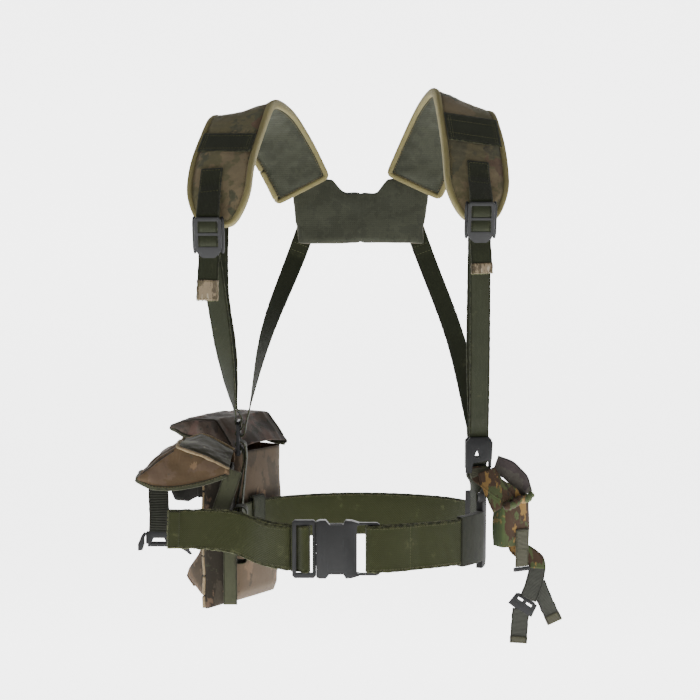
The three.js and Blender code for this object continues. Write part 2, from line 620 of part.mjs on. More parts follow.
// ---- Hip pouches on the wearer's right ----
// Each pouch has its own frame: +X away from the body, Y across its width, Z up.
function pouchGroup({ x, y, turn }) {
  const group = new THREE.Group();
  group.position.set(x, y, 0);
  group.rotation.z = THREE.MathUtils.degToRad(turn);
  object.add(group);
  return group;
}

const POUCH_INNER_X = -(BELT_HALF_WIDTH + BELT_WEB / 2 + GAP + 3 + STRAP_WEB);
const FRONT_POUCH_Y = -17;
const frontPouch = pouchGroup({ x: POUCH_INNER_X, y: FRONT_POUCH_Y, turn: 180 });
const rearPouch = pouchGroup({ x: -130, y: 74.2, turn: 145 });

function hollowPouch(outline, hollow, width) {
  return cut(plate(outline, width), plate(hollow, width - 2 * CLOTH_WALL));
}

const frontBody = [
  [0, 84], [0, -80], [FRONT_POUCH_DEPTH - 3, -93], [FRONT_POUCH_DEPTH, -86], [FRONT_POUCH_DEPTH, 84],
].reverse();
const frontHollow = [
  [CLOTH_WALL, 100], [CLOTH_WALL, -76], [FRONT_POUCH_DEPTH - 4.5, -88.5],
  [FRONT_POUCH_DEPTH - CLOTH_WALL, -84], [FRONT_POUCH_DEPTH - CLOTH_WALL, 100],
].reverse();
const sag = REAR_POUCH_DEPTH + 26; // the worn bottom bulges out
const rearBody = [
  [0, 96], [0, -42], [6, -106], [52, -114], [sag - 5, -90], [sag, -72],
  [REAR_POUCH_DEPTH + 2, -20], [REAR_POUCH_DEPTH, 96],
].reverse();
const rearHollow = [
  [CLOTH_WALL, 112], [CLOTH_WALL, -42], [6 + CLOTH_WALL, -103], [51, -110.5],
  [sag - 8, -87], [sag - 3.5, -72],
  [REAR_POUCH_DEPTH - 1, -20], [REAR_POUCH_DEPTH - CLOTH_WALL, 112],
].reverse();

// A stiff open-bottomed lid; its profile runs from the hinge over the crest to the tip and back.
const frontLid = {
  outside: [
    [1, 84.4], [1, 96], [55, 116], [94, 99], [120, 70], [100, 53], [62, 49], [8, 74], [3.2, 84.4],
  ].reverse(),
  inside: [[3, 20], [3, 94], [55, 113], [92.5, 97], [117, 67], [120, 20]].reverse(),
};
const rearLid = {
  outside: [
    [1, 96.4], [1, 105], [33, 139], [80, 136], [117, 122], [106, 113], [60, 105], [6, 93], [3.2, 96.4],
  ].reverse(),
  inside: [[3, 60], [3, 103.6], [34.5, 136.3], [79.5, 133.3], [113, 121], [116, 60]].reverse(),
};

function pouchLid(lid, pouchWidth) {
  const inside = pouchWidth + 2 * LID_CLEARANCE;
  return cut(plate(lid.outside, inside + 2 * CLOTH_WALL), plate(lid.inside, inside));
}

// A worn inner collar, folded out over the front wall.
function pouchCollar(depth, width) {
  const x = depth + GAP;
  return plate([[x, 52], [x + 14, 45], [x + 32, 47], [x + 37, 60], [x, 71]], width);
}

// A belt loop on a pouch's back: a closed band round the belt.
function pouchLoop(y, inner, low) {
  const outer = -(GAP + STRAP_WEB / 2);
  const turn = 3;
  const corner = (x, z) => stop(x, y, z, REARWARD);
  return webbing([
    corner(outer, -low), corner(outer, 0), corner(outer, low), corner(outer - turn, low + turn),
    corner(inner + turn, low + turn), corner(inner, low), corner(inner, 0), corner(inner, -low),
    corner(inner + turn, -low - turn), corner(outer - turn, -low - turn),
  ], STRAP_WIDTH, STRAP_WEB, true);
}

const LOOP_LOW = BELT_HEIGHT / 2 + 4;
add('front_pouch_body', hollowPouch(frontBody, frontHollow, FRONT_POUCH_WIDTH), 'pouch', frontPouch);
add('front_pouch_lid', pouchLid(frontLid, FRONT_POUCH_WIDTH), 'pouchLid', frontPouch);
add('front_pouch_collar', pouchCollar(FRONT_POUCH_DEPTH, FRONT_POUCH_WIDTH - 6), 'collar', frontPouch);
add('front_pouch_loop', pouchLoop(11, -17.6, LOOP_LOW), 'olive', frontPouch);
add('rear_pouch_body', hollowPouch(rearBody, rearHollow, REAR_POUCH_WIDTH), 'pouch', rearPouch);
add('rear_pouch_lid', pouchLid(rearLid, REAR_POUCH_WIDTH), 'pouchLid', rearPouch);
add('rear_pouch_loop', pouchLoop(17, -8.2, LOOP_LOW), 'olive', rearPouch);

// The closing strap of each lid hangs straight down from under the tip.
const CLASP_BAR = 4;
const CLASP_BEND = CLASP_BAR * Math.SQRT1_2 + GAP + STRAP_WEB / 2;
const SKIRT_INSIDE_Y = FRONT_POUCH_Y - FRONT_POUCH_WIDTH / 2 - LID_CLEARANCE;
const lidStrap = { x: -251, y: SKIRT_INSIDE_Y + GAP + STRAP_WEB / 2 + CLASP_BEND, top: 84 };
const claspBarZ = 4;

function closingStrap({ x, y, top }) {
  const front = y - CLASP_BEND;
  const bend = arc(y, claspBarZ, CLASP_BEND, 180, 360, (v, z) => stop(x, v, z, LEFTWARD), 8);
  return webbing([
    stop(x, front, top, LEFTWARD), stop(x, front, 52, LEFTWARD),
    stop(x + 1, front - 0.8, 28, LEFTWARD), bend[0],
    ...bend.slice(1), stop(x, y + 2.4, claspBarZ + 14, LEFTWARD),
  ], STRAP_WIDTH, STRAP_WEB);
}

function claspFrame({ x, y }) {
  const half = STRAP_WIDTH / 2 + 1;
  const frame = plate([
    [-half - 3, -11], [half + 3, -11], [half + 3, 3], [half + 1, 5], [-half - 1, 5], [-half - 3, 3],
  ], CLASP_BAR, [
    [
      [-half, -CLASP_BAR / 2], [-half, -5.4], [3.5 - half, -8.5],
      [half - 3.5, -8.5], [half, -5.4], [half, -CLASP_BAR / 2],
    ],
  ]);
  const trimmed = geometryOf(solid(frame).subtract(solid(plate(box(-half, half, CLASP_BAR / 2, 10), 10))));
  return trimmed.translate(x, y, claspBarZ);
}

function prong({ x, y }, hand, spread, reach) {
  const root = STRAP_WIDTH / 2 + 4 + GAP;
  const points = [
    [root, 3], [root, 0], [root + 3.5, -9],
    [root + spread - 3, -reach - 1], [root + spread, -reach], [root + 3, 2],
  ];
  const outline = points.map(([px, pz]) => [hand * px, pz]);
  return plate(hand > 0 ? outline : outline.reverse(), CLASP_BAR).translate(x, y, claspBarZ);
}

add('front_lid_strap', closingStrap(lidStrap), 'greenWeb');
add('clasp_male', claspFrame(lidStrap), 'black', object, true);
add('clasp_prong_outer', prong(lidStrap, -1, 10, 19), 'black', object, true);
add('clasp_prong_inner', prong(lidStrap, 1, 24, 24), 'black', object, true);

// The clasp's other half sits on the pouch's front wall, held by a web sewn below it.
function claspFemale() {
  const x = FRONT_POUCH_DEPTH + GAP + 3.5;
  const half = STRAP_WIDTH / 2 + 4;
  const shell = plate(chamfered(-half, half, -2, 24, 3), 7);
  const pocket = plate(box(-half + 2.5, half - 2.5, 5, 30), 3.6);
  return geometryOf(solid(shell).subtract(solid(pocket))).rotateZ(Math.PI / 2).translate(x, 0, 0);
}

function claspWeb() {
  const x = FRONT_POUCH_DEPTH + GAP + STRAP_WEB / 2;
  return webbing([
    stop(x, 0, -74, REARWARD), stop(x, 0, -40, REARWARD), stop(x, 0, -2 - GAP, REARWARD),
  ], STRAP_WIDTH, STRAP_WEB);
}

add('clasp_female', claspFemale(), 'black', frontPouch, true);
add('clasp_web', claspWeb(), 'greenWeb', frontPouch);

// ---- Small pouch on the wearer's left ----
const sidePouch = new THREE.Group();
sidePouch.position.set(192, 4, 40);
sidePouch.rotation.z = THREE.MathUtils.degToRad(30);
sidePouch.updateMatrix();
object.add(sidePouch);
const SIDE_WALL = 2.2;

function sidePouchBody() {
  const half = SIDE_POUCH_WIDTH / 2;
  const wall = SIDE_WALL;
  const outline = [[-half, -62], [half, -57], [half, 5], [-half, -8]];
  const hollow = [[wall - half, -59.5], [half - wall, -54.8], [half - wall, 30], [wall - half, 30]];
  return cut(plate(outline, SIDE_POUCH_DEPTH), plate(hollow, SIDE_POUCH_DEPTH - 2 * wall));
}

function sidePouchTab() {
  const y = -SIDE_POUCH_DEPTH / 2 - GAP - STRAP_WEB / 2;
  return webbing([
    stop(6, y, -38, LEFTWARD), stop(6, y, -60, LEFTWARD),
    stop(5, y - 1, -77, LEFTWARD), stop(5, y - 1, -86, LEFTWARD),
  ], SIDE_STRAP_WIDTH - 2, STRAP_WEB);
}

add('side_pouch_body', sidePouchBody(), 'woodland', sidePouch);
add('side_pouch_tab', sidePouchTab(), 'greyWeb', sidePouch);
const tabBar = plate(box(-12, 12, -2.5, 2.5), 4).translate(5, -17.1, -86 - BUTT - 2.5);
add('side_tab_bar', tabBar, 'black', sidePouch, true);

const leftConnector = hardwareFrame(SHOULDERS.left.connector);

// The pouch hangs by a band round the connector's bottom bar that widens into a camouflage panel.
function sideHanger() {
  const bend = arc(0, CONNECTOR_BARS.bottom, CONNECTOR_BEND, 5, 180,
    (y, z) => inFrame(leftConnector, 0, y, z), 8);
  const slant = new THREE.Vector3(0.86, 0.36, 0.36);
  const frontWall = SIDE_POUCH_DEPTH / 2 - SIDE_WALL - GAP - STRAP_WEB / 2;
  const inPouch = (x, z) => inFrame(sidePouch.matrix, x, 0.5 - frontWall, z);
  return webbing([
    ...bend,
    ...smooth([
      inFrame(leftConnector, 1, -CONNECTOR_BEND - 2.5, CONNECTOR_BARS.bottom - 7),
      stop(163, -11, 63, slant), stop(178, -11, 53, slant), inPouch(-5, 3), inPouch(-4.5, -12),
    ], 3),
  ], STRAP_WIDTH, STRAP_WEB);
}

// The strap under the pouch, seen from the front along its whole length.
function frontFacing(points, width) {
  return webbing(smooth(points.map(([x, y, z], i) => {
    const before = points[Math.max(i - 1, 0)];
    const after = points[Math.min(i + 1, points.length - 1)];
    const way = new THREE.Vector3(after[0] - before[0], after[1] - before[1], after[2] - before[2]);
    return stop(x, y, z, way.cross(REARWARD).normalize());
  }), 3), width, STRAP_WEB);
}

const SIDE_LOCK = { x: 208, y: 2, z: -97 };
const SIDE_LOCK_THICKNESS = 4;
const sideLock = hardwareFrame(SIDE_LOCK);
// Webbing lying on the front of the lower ladder lock.
const SIDE_FACE = SIDE_LOCK.y - SIDE_LOCK_THICKNESS / 2 - GAP - STRAP_WEB / 2;

function sideLadder() {
  const half = SIDE_STRAP_WIDTH / 2 + 3.5;
  const frame = plate(chamfered(-half, half, -9.5, 9.5, 2.5), SIDE_LOCK_THICKNESS, [
    box(3 - half, half - 3, 2, 6.5), box(3 - half, half - 3, -6.5, -2),
  ]);
  return frame.rotateY(THREE.MathUtils.degToRad(33)).applyMatrix4(sideLock);
}

add('side_hanger', sideHanger(), 'woodland');
add('side_strap', frontFacing([
  [200, 9.2, -21], [200, 9.2, -25], [213, 8.5, -33], [225.5, 7, -43], [225, 4, -58], [220, 1, -75],
  [214, SIDE_FACE, -90],
], SIDE_STRAP_WIDTH), 'woodland');
add('side_ladder', sideLadder(), 'black', object, true);
add('side_tail_front', frontFacing([
  [205, SIDE_FACE, -102], [203.5, SIDE_FACE, -122], [202, SIDE_FACE, -147],
], SIDE_STRAP_WIDTH), 'greyWeb');
add('side_tail_back', frontFacing([
  [227, 5, -70], [236, 7, -92], [250, 8, -122],
], SIDE_STRAP_WIDTH - 2), 'greyWeb');

export default object;
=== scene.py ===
"""The looks of a load-carrying harness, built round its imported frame.

Lengths are in metres, +Z is up and the wearer faces -Y. Each operator makes one group of pieces.
"""

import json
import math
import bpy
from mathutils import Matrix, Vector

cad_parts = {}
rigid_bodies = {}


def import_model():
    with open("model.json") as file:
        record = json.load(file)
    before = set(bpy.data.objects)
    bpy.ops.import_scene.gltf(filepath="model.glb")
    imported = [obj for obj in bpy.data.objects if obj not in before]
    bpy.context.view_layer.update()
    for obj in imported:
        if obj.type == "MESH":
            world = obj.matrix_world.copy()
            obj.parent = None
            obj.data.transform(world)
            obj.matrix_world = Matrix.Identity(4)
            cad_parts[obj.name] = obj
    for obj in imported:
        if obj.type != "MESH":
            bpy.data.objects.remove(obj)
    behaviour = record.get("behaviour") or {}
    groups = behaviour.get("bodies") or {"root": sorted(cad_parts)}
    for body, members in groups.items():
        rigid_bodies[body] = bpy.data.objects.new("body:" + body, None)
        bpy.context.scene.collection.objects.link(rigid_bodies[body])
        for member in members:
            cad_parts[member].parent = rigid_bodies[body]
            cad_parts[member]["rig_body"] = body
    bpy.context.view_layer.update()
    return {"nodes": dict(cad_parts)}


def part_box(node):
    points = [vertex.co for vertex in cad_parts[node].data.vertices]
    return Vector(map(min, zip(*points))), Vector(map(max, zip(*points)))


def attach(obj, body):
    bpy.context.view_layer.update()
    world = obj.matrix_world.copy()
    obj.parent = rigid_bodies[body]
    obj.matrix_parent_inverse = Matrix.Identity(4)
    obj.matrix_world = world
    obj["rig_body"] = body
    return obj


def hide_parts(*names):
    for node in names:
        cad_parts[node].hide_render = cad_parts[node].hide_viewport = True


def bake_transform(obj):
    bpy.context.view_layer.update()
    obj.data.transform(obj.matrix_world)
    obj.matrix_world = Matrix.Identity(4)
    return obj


bl_info = {
    "name": "Load-carrying harness",
    "version": (1, 0, 0),
    "blender": (4, 5, 0),
    "location": "View3D > Sidebar > Harness",
    "description": "Builds the belt, yoke and pouches of a load-carrying harness on its frame",
    "category": "Object",
}

import bmesh
import bpy
import numpy as np
from mathutils import Matrix, Vector

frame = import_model()
NODES = frame["nodes"]
TAU = 2 * math.pi
STEP = 0.002  # spacing of rings along webbing
LOOP_WIDTH = 0.025  # width of the webbing that closes into loops
THREAD_LIFT = 0.00005  # how far stitches stand off the cloth
CLOTH_FRAMES = 20  # frames of air pressure on a padded piece
PAD_STEP = 0.003  # spacing of rings round a pad's edge
BINDING_AROUND = 14  # points round the binding's section
LOCK_TILT = 17  # degrees that the ladder locks lean
LOCK_PLACES = {"left": (0.141, -0.113, 0.394), "right": (-0.182, -0.113, 0.376)}
FRONT_RIDGE, FAR_RIDGE = 14, 66  # columns of a lid's points where its top meets its skirts


def srgb(red, green, blue):
    """The linear colour of an 8-bit screen colour."""
    c = np.array([red, green, blue]) / 255
    return tuple(float(x) for x in np.where(c <= 0.04045, c / 12.92, ((c + 0.055) / 1.055) ** 2.4))


# ---- Settings ----
def colour_setting(name, description, screen):
    return bpy.props.FloatVectorProperty(
        name=name, description=description, size=3, min=0, max=1, subtype="COLOR", default=srgb(*screen))


def length_setting(name, description, default):
    return bpy.props.FloatProperty(
        name=name, description=description, default=default, min=0, subtype="DISTANCE", unit="LENGTH")


class HarnessColours(bpy.types.PropertyGroup):
    """Colours of the harness's cloths and webbings."""

    belt: colour_setting("Belt", "Twill webbing of the belt", (47, 51, 20))
    belt_worn: colour_setting("Worn belt", "Threads that show where the belt is rubbed", (116, 118, 82))
    keeper: colour_setting("Keeper", "Webbing of the belt's keeper", (28, 30, 17))
    strap: colour_setting("Straps", "Webbing of the yoke's straps", (36, 40, 20))
    dark_strap: colour_setting("Closing strap", "Ribbed webbing of the lid's closing strap", (34, 35, 26))
    grey_strap: colour_setting("Grey webbing", "Webbing of the small pouch", (84, 83, 68))
    pad: colour_setting("Pads", "Ground of the pads' faded print", (110, 98, 74))
    binding: colour_setting("Binding", "Tape sewn round the pads", (134, 125, 82))
    lid: colour_setting("Lid", "Ground of the lids' faded print", (78, 62, 42))
    lid_top: colour_setting("Lid top", "Panel on top of the front lid", (56, 53, 38))
    pouch: colour_setting("Pouches", "Ground of the pouches' faded print", (38, 33, 24))
    piping: colour_setting("Piping", "Rubbed piping on the lids", (150, 132, 102))
    woodland: colour_setting("Woodland ground", "Ground of the small pouch's print", (66, 50, 36))
    plastic: colour_setting("Plastic", "Moulded buckles and bars", (13, 14, 15))
    thread: colour_setting("Thread", "Stitching of the straps", (80, 82, 54))


class HarnessSizes(bpy.types.PropertyGroup):
    """Sizes of the harness's sewn details."""

    stitch: length_setting("Stitch", "Length of one stitch with its gap", 0.0038)
    thread: length_setting("Thread", "Half the thickness of the sewing thread", 0.0004)
    pad: length_setting("Pad", "Half the thickness of a shoulder pad", 0.0052)
    binding: length_setting("Binding", "How far the binding reaches over a pad", 0.0062)
    cloth: length_setting("Cloth", "Thickness of the lids' cloth", 0.0022)
    voxel: length_setting("Mesh", "Mesh size of the padded pieces before they are filled", 0.0042)


# ---- Materials ----
class Term:
    """A value in a material. Arithmetic on it adds Math nodes."""

    def __init__(self, finish, socket):
        self.finish, self.socket = finish, socket

    def math(self, operation, *values):
        return self.finish.node("Math", {"operation": operation}, dict(enumerate(values)))

    def __add__(self, other):
        return self.math("ADD", self, other)

    def __sub__(self, other):
        return self.math("SUBTRACT", self, other)

    def __rsub__(self, other):
        return self.math("SUBTRACT", other, self)

    def __mul__(self, other):
        return self.math("MULTIPLY", self, other)

    __radd__, __rmul__ = __add__, __mul__

    def wave(self, length, shift=0.0):
        """A wave from 0 to 1 that repeats over a length."""
        angle = self * (TAU / length) + shift
        return angle.math("SINE", angle) * 0.5 + 0.5

    def above(self, low, high):
        """0 below low, 1 above high, and smooth between."""
        ends = {"Value": self, "From Min": low, "From Max": high}
        return self.finish.node("MapRange", {"interpolation_type": "SMOOTHSTEP"}, ends)


class Finish:
    """One procedural material round a Principled shader."""

    def __init__(self, name, **constants):
        self.material = bpy.data.materials.new(name)
        self.material.use_nodes = True
        self.tree = self.material.node_tree
        self.shader = self.tree.nodes["Principled BSDF"]
        for socket, value in constants.items():
            self.shader.inputs[socket.replace("_", " ")].default_value = value

    def node(self, kind, settings=None, sockets=None, out=0):
        """Adds a node: its settings first, then its sockets' values or links."""
        made = self.tree.nodes.new("ShaderNode" + kind)
        for key, value in (settings or {}).items():
            setattr(made, key, value)
        for key, value in (sockets or {}).items():
            if isinstance(value, Term):
                self.tree.links.new(value.socket, made.inputs[key])
            else:
                made.inputs[key].default_value = value
        return Term(self, made.outputs[out])

    def place(self):
        return self.node("TexCoord", out="Object")

    def split(self, vector):
        return [self.node("SeparateXYZ", sockets={0: vector}, out=i) for i in range(3)]

    def across_along(self):
        """Metres across the strip from its middle, and metres along it."""
        return self.split(self.node("UVMap"))[:2]

    def noise(self, scale, detail=3.0, place=None, stretch=None, shift=(0, 0, 0), rough=0.55):
        source = place or self.place()
        if stretch or any(shift):
            source = self.node(
                "Mapping", None, {"Vector": source, "Scale": stretch or (1, 1, 1), "Location": shift})
        look = {"Vector": source, "Scale": scale, "Detail": detail, "Roughness": rough}
        return self.node("TexNoise", None, look, "Fac")

    def mix(self, factor, first, second):
        """A colour between two others; a plain colour is a tuple of three."""
        paint = [c if isinstance(c, Term) else (*c, 1.0) for c in (first, second)]
        return self.node("Mix", {"data_type": "RGBA"}, {0: factor, 6: paint[0], 7: paint[1]}, 2)

    def finish(self, colour, roughness, height, depth):
        """Feeds the colour, roughness and relief into the shader."""
        self.tree.links.new(colour.socket, self.shader.inputs["Base Color"])
        self.tree.links.new(roughness.socket, self.shader.inputs["Roughness"])
        bump = self.node("Bump", None, {"Strength": 0.85, "Distance": depth, "Height": height})
        self.tree.links.new(bump.socket, self.shader.inputs["Normal"])
        return self.material


def shade(colour, factor):
    """A colour made lighter or darker."""
    return tuple(min(1.0, c * factor) for c in colour)


def webbing_finish(name, colour, worn, pitch=0.0021, twill=1.0, wear=0.5, rib=0.5):
    """Webbing: slanted twill lines, lengthwise cords, rubbed edges and stains, read along the strip."""
    f = Finish(name, Sheen_Weight=0.12, Sheen_Roughness=0.5, Specular_IOR_Level=0.25)
    across, along = f.across_along()
    edge = f.node("Attribute", {"attribute_name": "edge"}, out="Fac")
    slant = (across * twill + along).wave(pitch)
    cord = across.wave(pitch * 0.9, 0.6)
    weft = along.wave(pitch * 0.55)
    relief = slant * (1 - rib) + cord * rib * 0.6 + weft * rib * 0.4
    stain = f.noise(17, 4)
    fuzz = f.noise(900, 2)
    rubbed = edge.above(0.80, 1.0) * 0.75 + f.noise(55, 5).above(0.58, 0.75) * 0.4
    rubbed = rubbed * f.noise(230, 3).above(0.4, 0.62)
    ground = f.mix(relief, shade(colour, 0.55), shade(colour, 1.18))
    ground = f.mix(stain.above(0.35, 0.7) * 0.45, ground, shade(colour, 0.62))
    ground = f.mix(rubbed * wear, ground, worn)
    ground = f.mix(fuzz.above(0.62, 0.8) * 0.3 * wear, ground, worn)
    return f.finish(ground, 0.82 + stain * 0.12, relief + fuzz * 0.35, 0.0007)


def printed_finish(name, ground, patches, scale=26, fade=0.35, relief=0.0006, weave=0.0016):
    """Printed cloth: blotches with broken edges laid over each other, faded, on a fine plain weave."""
    f = Finish(name, Sheen_Weight=0.1, Sheen_Roughness=0.6, Specular_IOR_Level=0.2)
    place = f.place()
    x, y, z = f.split(place)
    colour = f.mix(f.noise(scale * 2.2, 4), shade(ground, 0.85), shade(ground, 1.12))
    for i, (patch, low, stretch) in enumerate(patches):
        blotch = f.noise(scale, 4.5, place, stretch, (3.1 * i + 0.7, 1.7 * i, 5.3 * i), 0.62)
        colour = f.mix(blotch.above(low, low + 0.035), colour, patch)
    thread = (x + y).wave(weave) * 0.5 + z.wave(weave) * 0.5
    worn = f.noise(75, 5, place, None, (9, 2, 4), 0.7)
    colour = f.mix(worn.above(0.45, 0.8) * fade, colour, shade(ground, 1.5))
    dirt = f.noise(9, 3, place, None, (1, 7, 2))
    colour = f.mix(dirt.above(0.5, 0.75) * 0.4, colour, shade(ground, 0.45))
    colour = f.mix(thread * 0.22, colour, shade(ground, 0.5))
    crease = f.noise(48, 3, place, (1.6, 1.0, 0.7), (2, 2, 9))
    return f.finish(colour, 0.86 + worn * 0.1, thread * 0.3 + crease * 1.6 + worn * 0.4, relief)


def plastic_finish(name, colour):
    """Moulded plastic: fine grain, pale scuffs and thin scratches."""
    f = Finish(name, Specular_IOR_Level=0.42)
    scuff = f.noise(70, 6, rough=0.72)
    scratch = f.noise(240, 3, stretch=(1, 1, 0.12), shift=(4, 1, 2)).above(0.66, 0.70)
    cross = f.noise(260, 2, stretch=(0.1, 1, 1), shift=(1, 8, 3)).above(0.68, 0.71)
    grain = f.noise(1500, 2)
    mark = scuff.above(0.52, 0.78) * 0.42 + (scratch + cross) * 0.3
    tone = f.mix(mark, shade(colour, 0.62), shade(colour, 3.2))
    return f.finish(tone, 0.42 + scuff * 0.28, grain * 0.5 + scuff * 0.5 - scratch * 0.6, 0.00025)


def plain_finish(name, colour, scale=320, contrast=0.35):
    """Thread, fibre or lining: twisted strands with uneven colour."""
    f = Finish(name, Sheen_Weight=0.15, Specular_IOR_Level=0.2)
    strand = f.noise(scale, 3)
    patch = f.noise(30, 3, shift=(5, 5, 1))
    tone = f.mix(strand.above(0.3, 0.7) * contrast + patch * 0.3, colour, shade(colour, 0.45))
    return f.finish(tone, 0.85 + patch * 0.1, strand + patch, 0.0004)


MATERIALS = {}


def make_materials(colours):
    """Every finish of the harness, from the colour settings."""
    c = {key: tuple(getattr(colours, key)) for key in HarnessColours.__annotations__}
    flat, tall = (1.0, 1.0, 1.0), (1.5, 1.5, 0.75)
    MATERIALS.update(
        belt=webbing_finish("twill_belt", c["belt"], c["belt_worn"], 0.0024, 1.0, 0.55, 0.25),
        keeper=printed_finish("keeper_webbing", c["keeper"], [
            (shade(c["keeper"], 0.7), 0.56, flat)], 60, 0.12),
        strap=webbing_finish("plain_strap", c["strap"], c["belt_worn"], 0.0019, 1.0, 0.25, 0.5),
        dark=webbing_finish(
            "ribbed_strap", c["dark_strap"], shade(c["dark_strap"], 1.8), 0.0032, 0.0, 0.3, 0.1),
        grey=webbing_finish(
            "grey_strap", c["grey_strap"], shade(c["grey_strap"], 1.5), 0.0017, 0.0, 0.3, 0.4),
        slate=webbing_finish("slate_strap", srgb(68, 69, 62), srgb(104, 105, 92), 0.0017, 0.0, 0.25, 0.4),
        binding=webbing_finish(
            "binding_tape", c["binding"], shade(c["binding"], 1.35), 0.0015, 0.4, 0.35, 0.5),
        pad=printed_finish("faded_print", c["pad"], [
            (srgb(90, 86, 60), 0.48, flat), (srgb(70, 72, 54), 0.56, tall), (srgb(92, 74, 58), 0.60, flat),
            (srgb(58, 60, 48), 0.64, tall)], 17, 0.3),
        tab=printed_finish("strap_end_print", srgb(128, 114, 92), [
            (srgb(70, 62, 48), 0.5, (4, 4, 1)), (srgb(158, 148, 128), 0.58, (5, 5, 1)),
            (srgb(84, 84, 56), 0.62, (3, 3, 1))], 60, 0.4),
        lid=printed_finish("brown_print", c["lid"], [
            (srgb(84, 68, 54), 0.52, flat), (srgb(112, 90, 66), 0.58, tall),
            (srgb(66, 62, 48), 0.64, flat)], 30, 0.3),
        lid_top=printed_finish("grey_green_print", c["lid_top"], [
            (srgb(86, 86, 68), 0.54, flat), (srgb(108, 98, 80), 0.62, tall)], 24, 0.25),
        rear_lid=printed_finish("dark_print", srgb(74, 63, 54), [
            (srgb(56, 49, 44), 0.5, flat), (srgb(88, 68, 59), 0.57, tall),
            (srgb(48, 46, 38), 0.63, flat)], 28, 0.25),
        pouch=printed_finish("pouch_print", c["pouch"], [
            (srgb(58, 52, 42), 0.52, tall), (srgb(92, 74, 58), 0.58, tall),
            (srgb(54, 56, 40), 0.64, flat)], 28, 0.25),
        bag=printed_finish("bag_print", srgb(86, 72, 56), [
            (srgb(66, 56, 44), 0.52, tall), (srgb(106, 86, 66), 0.57, tall),
            (srgb(60, 58, 42), 0.66, flat)], 26, 0.3),
        olive=printed_finish("olive_cloth", srgb(66, 68, 50), [(srgb(54, 54, 40), 0.55, tall)], 40, 0.2),
        woodland=printed_finish("woodland_print", c["woodland"], [
            (srgb(74, 86, 52), 0.50, tall), (srgb(142, 112, 62), 0.575, tall),
            (srgb(46, 42, 34), 0.64, tall)], 40, 0.12),
        green=printed_finish("green_print", srgb(76, 90, 54), [
            (srgb(74, 88, 52), 0.52, flat), (srgb(128, 112, 66), 0.62, flat)], 40, 0.15),
        flap=printed_finish("flap_cloth", srgb(70, 66, 60), [(srgb(58, 50, 50), 0.52, flat)], 30, 0.2),
        # The collar cloth is near black: it is part dark cloth and part painted shade for the dark region
        # below the lid.
        collar=printed_finish("collar_cloth", srgb(38, 37, 33), [
            (srgb(30, 29, 27), 0.52, flat)], 30, 0.2, 0.001),
        sleeve=printed_finish("sleeve_cloth", srgb(30, 30, 29), [
            (srgb(24, 24, 23), 0.52, flat)], 30, 0.15, 0.0008),
        lining=printed_finish("mesh_lining", srgb(56, 58, 46), [
            (srgb(50, 52, 41), 0.5, flat)], 60, 0.1, 0.0010, 0.0026),
        piping=plain_finish("rubbed_piping", c["piping"], 260, 0.55),
        seam=plain_finish("dark_seam", srgb(48, 40, 32)),
        thread=plain_finish("olive_thread", c["thread"], 900, 0.3),
        khaki=plain_finish("khaki_thread", srgb(96, 86, 54), 900, 0.3),
        fibre=plain_finish("loose_fibre", c["belt_worn"], 900, 0.25),
        plastic=plastic_finish("scuffed_plastic", c["plastic"]),
    )


# ---- Meshes ----
def waves(values, seed, length, count=4):
    """A smooth uneven line: sines of near lengths with seeded starts, between about -1 and 1."""
    random = np.random.default_rng(seed)
    total = np.zeros_like(values, float)
    for _ in range(count):
        total += np.sin(values * TAU / (length * random.uniform(0.6, 1.7)) + random.uniform(0, TAU))
    return total / count ** 0.75


def creases(points, seed, length, stretch=(1.0, 1.0, 1.0), count=9):
    """Soft folds in space: plane waves of near lengths in seeded directions, summed and sharpened."""
    random = np.random.default_rng(seed)
    total = np.zeros(points.shape[:-1])
    for _ in range(count):
        way = random.normal(size=3) * np.array(stretch)
        way /= np.linalg.norm(way)
        total += np.sin(points @ way * TAU / (length * random.uniform(0.6, 1.6)) + random.uniform(0, TAU))
    total /= count ** 0.6
    return np.sign(total) * np.abs(total) ** 0.8


def link(name, vertices, faces, material, uv=None, edge=None):
    """A mesh object with smooth faces that point outwards."""
    mesh = bpy.data.meshes.new(name)
    mesh.from_pydata(np.asarray(vertices).reshape(-1, 3).tolist(), [], faces)
    if uv is not None:
        mesh.uv_layers.new(name="UVMap").data.foreach_set("uv", np.asarray(uv, np.float32).ravel())
    if edge is not None:
        shares = mesh.attributes.new("edge", "FLOAT", "POINT").data
        shares.foreach_set("value", np.asarray(edge, np.float32).ravel())
    return present(mesh, name, material)


def present(mesh, name, material):
    """Turns a mesh's faces outwards, smooths them and puts the mesh in the scene."""
    work = bmesh.new()
    work.from_mesh(mesh)
    bmesh.ops.recalc_face_normals(work, faces=work.faces)
    work.to_mesh(mesh)
    work.free()
    mesh.polygons.foreach_set("use_smooth", [True] * len(mesh.polygons))
    mesh.materials.clear()
    mesh.materials.append(MATERIALS[material])
    piece = bpy.data.objects.new(name, mesh)
    bpy.context.scene.collection.objects.link(piece)
    return piece


def grid_faces(rows, columns, wrap_rows, wrap_columns):
    """Quads over a grid of points, as an array of corner numbers and one of corner places."""
    i, j = np.meshgrid(np.arange(rows if wrap_rows else rows - 1),
                       np.arange(columns if wrap_columns else columns - 1), indexing="ij")
    corner = np.stack([np.stack([i + a, j + b], -1) for a, b in ((0, 0), (0, 1), (1, 1), (1, 0))], -2)
    corner = corner.reshape(-1, 4, 2)
    return (corner[..., 0] % rows) * columns + corner[..., 1] % columns, corner


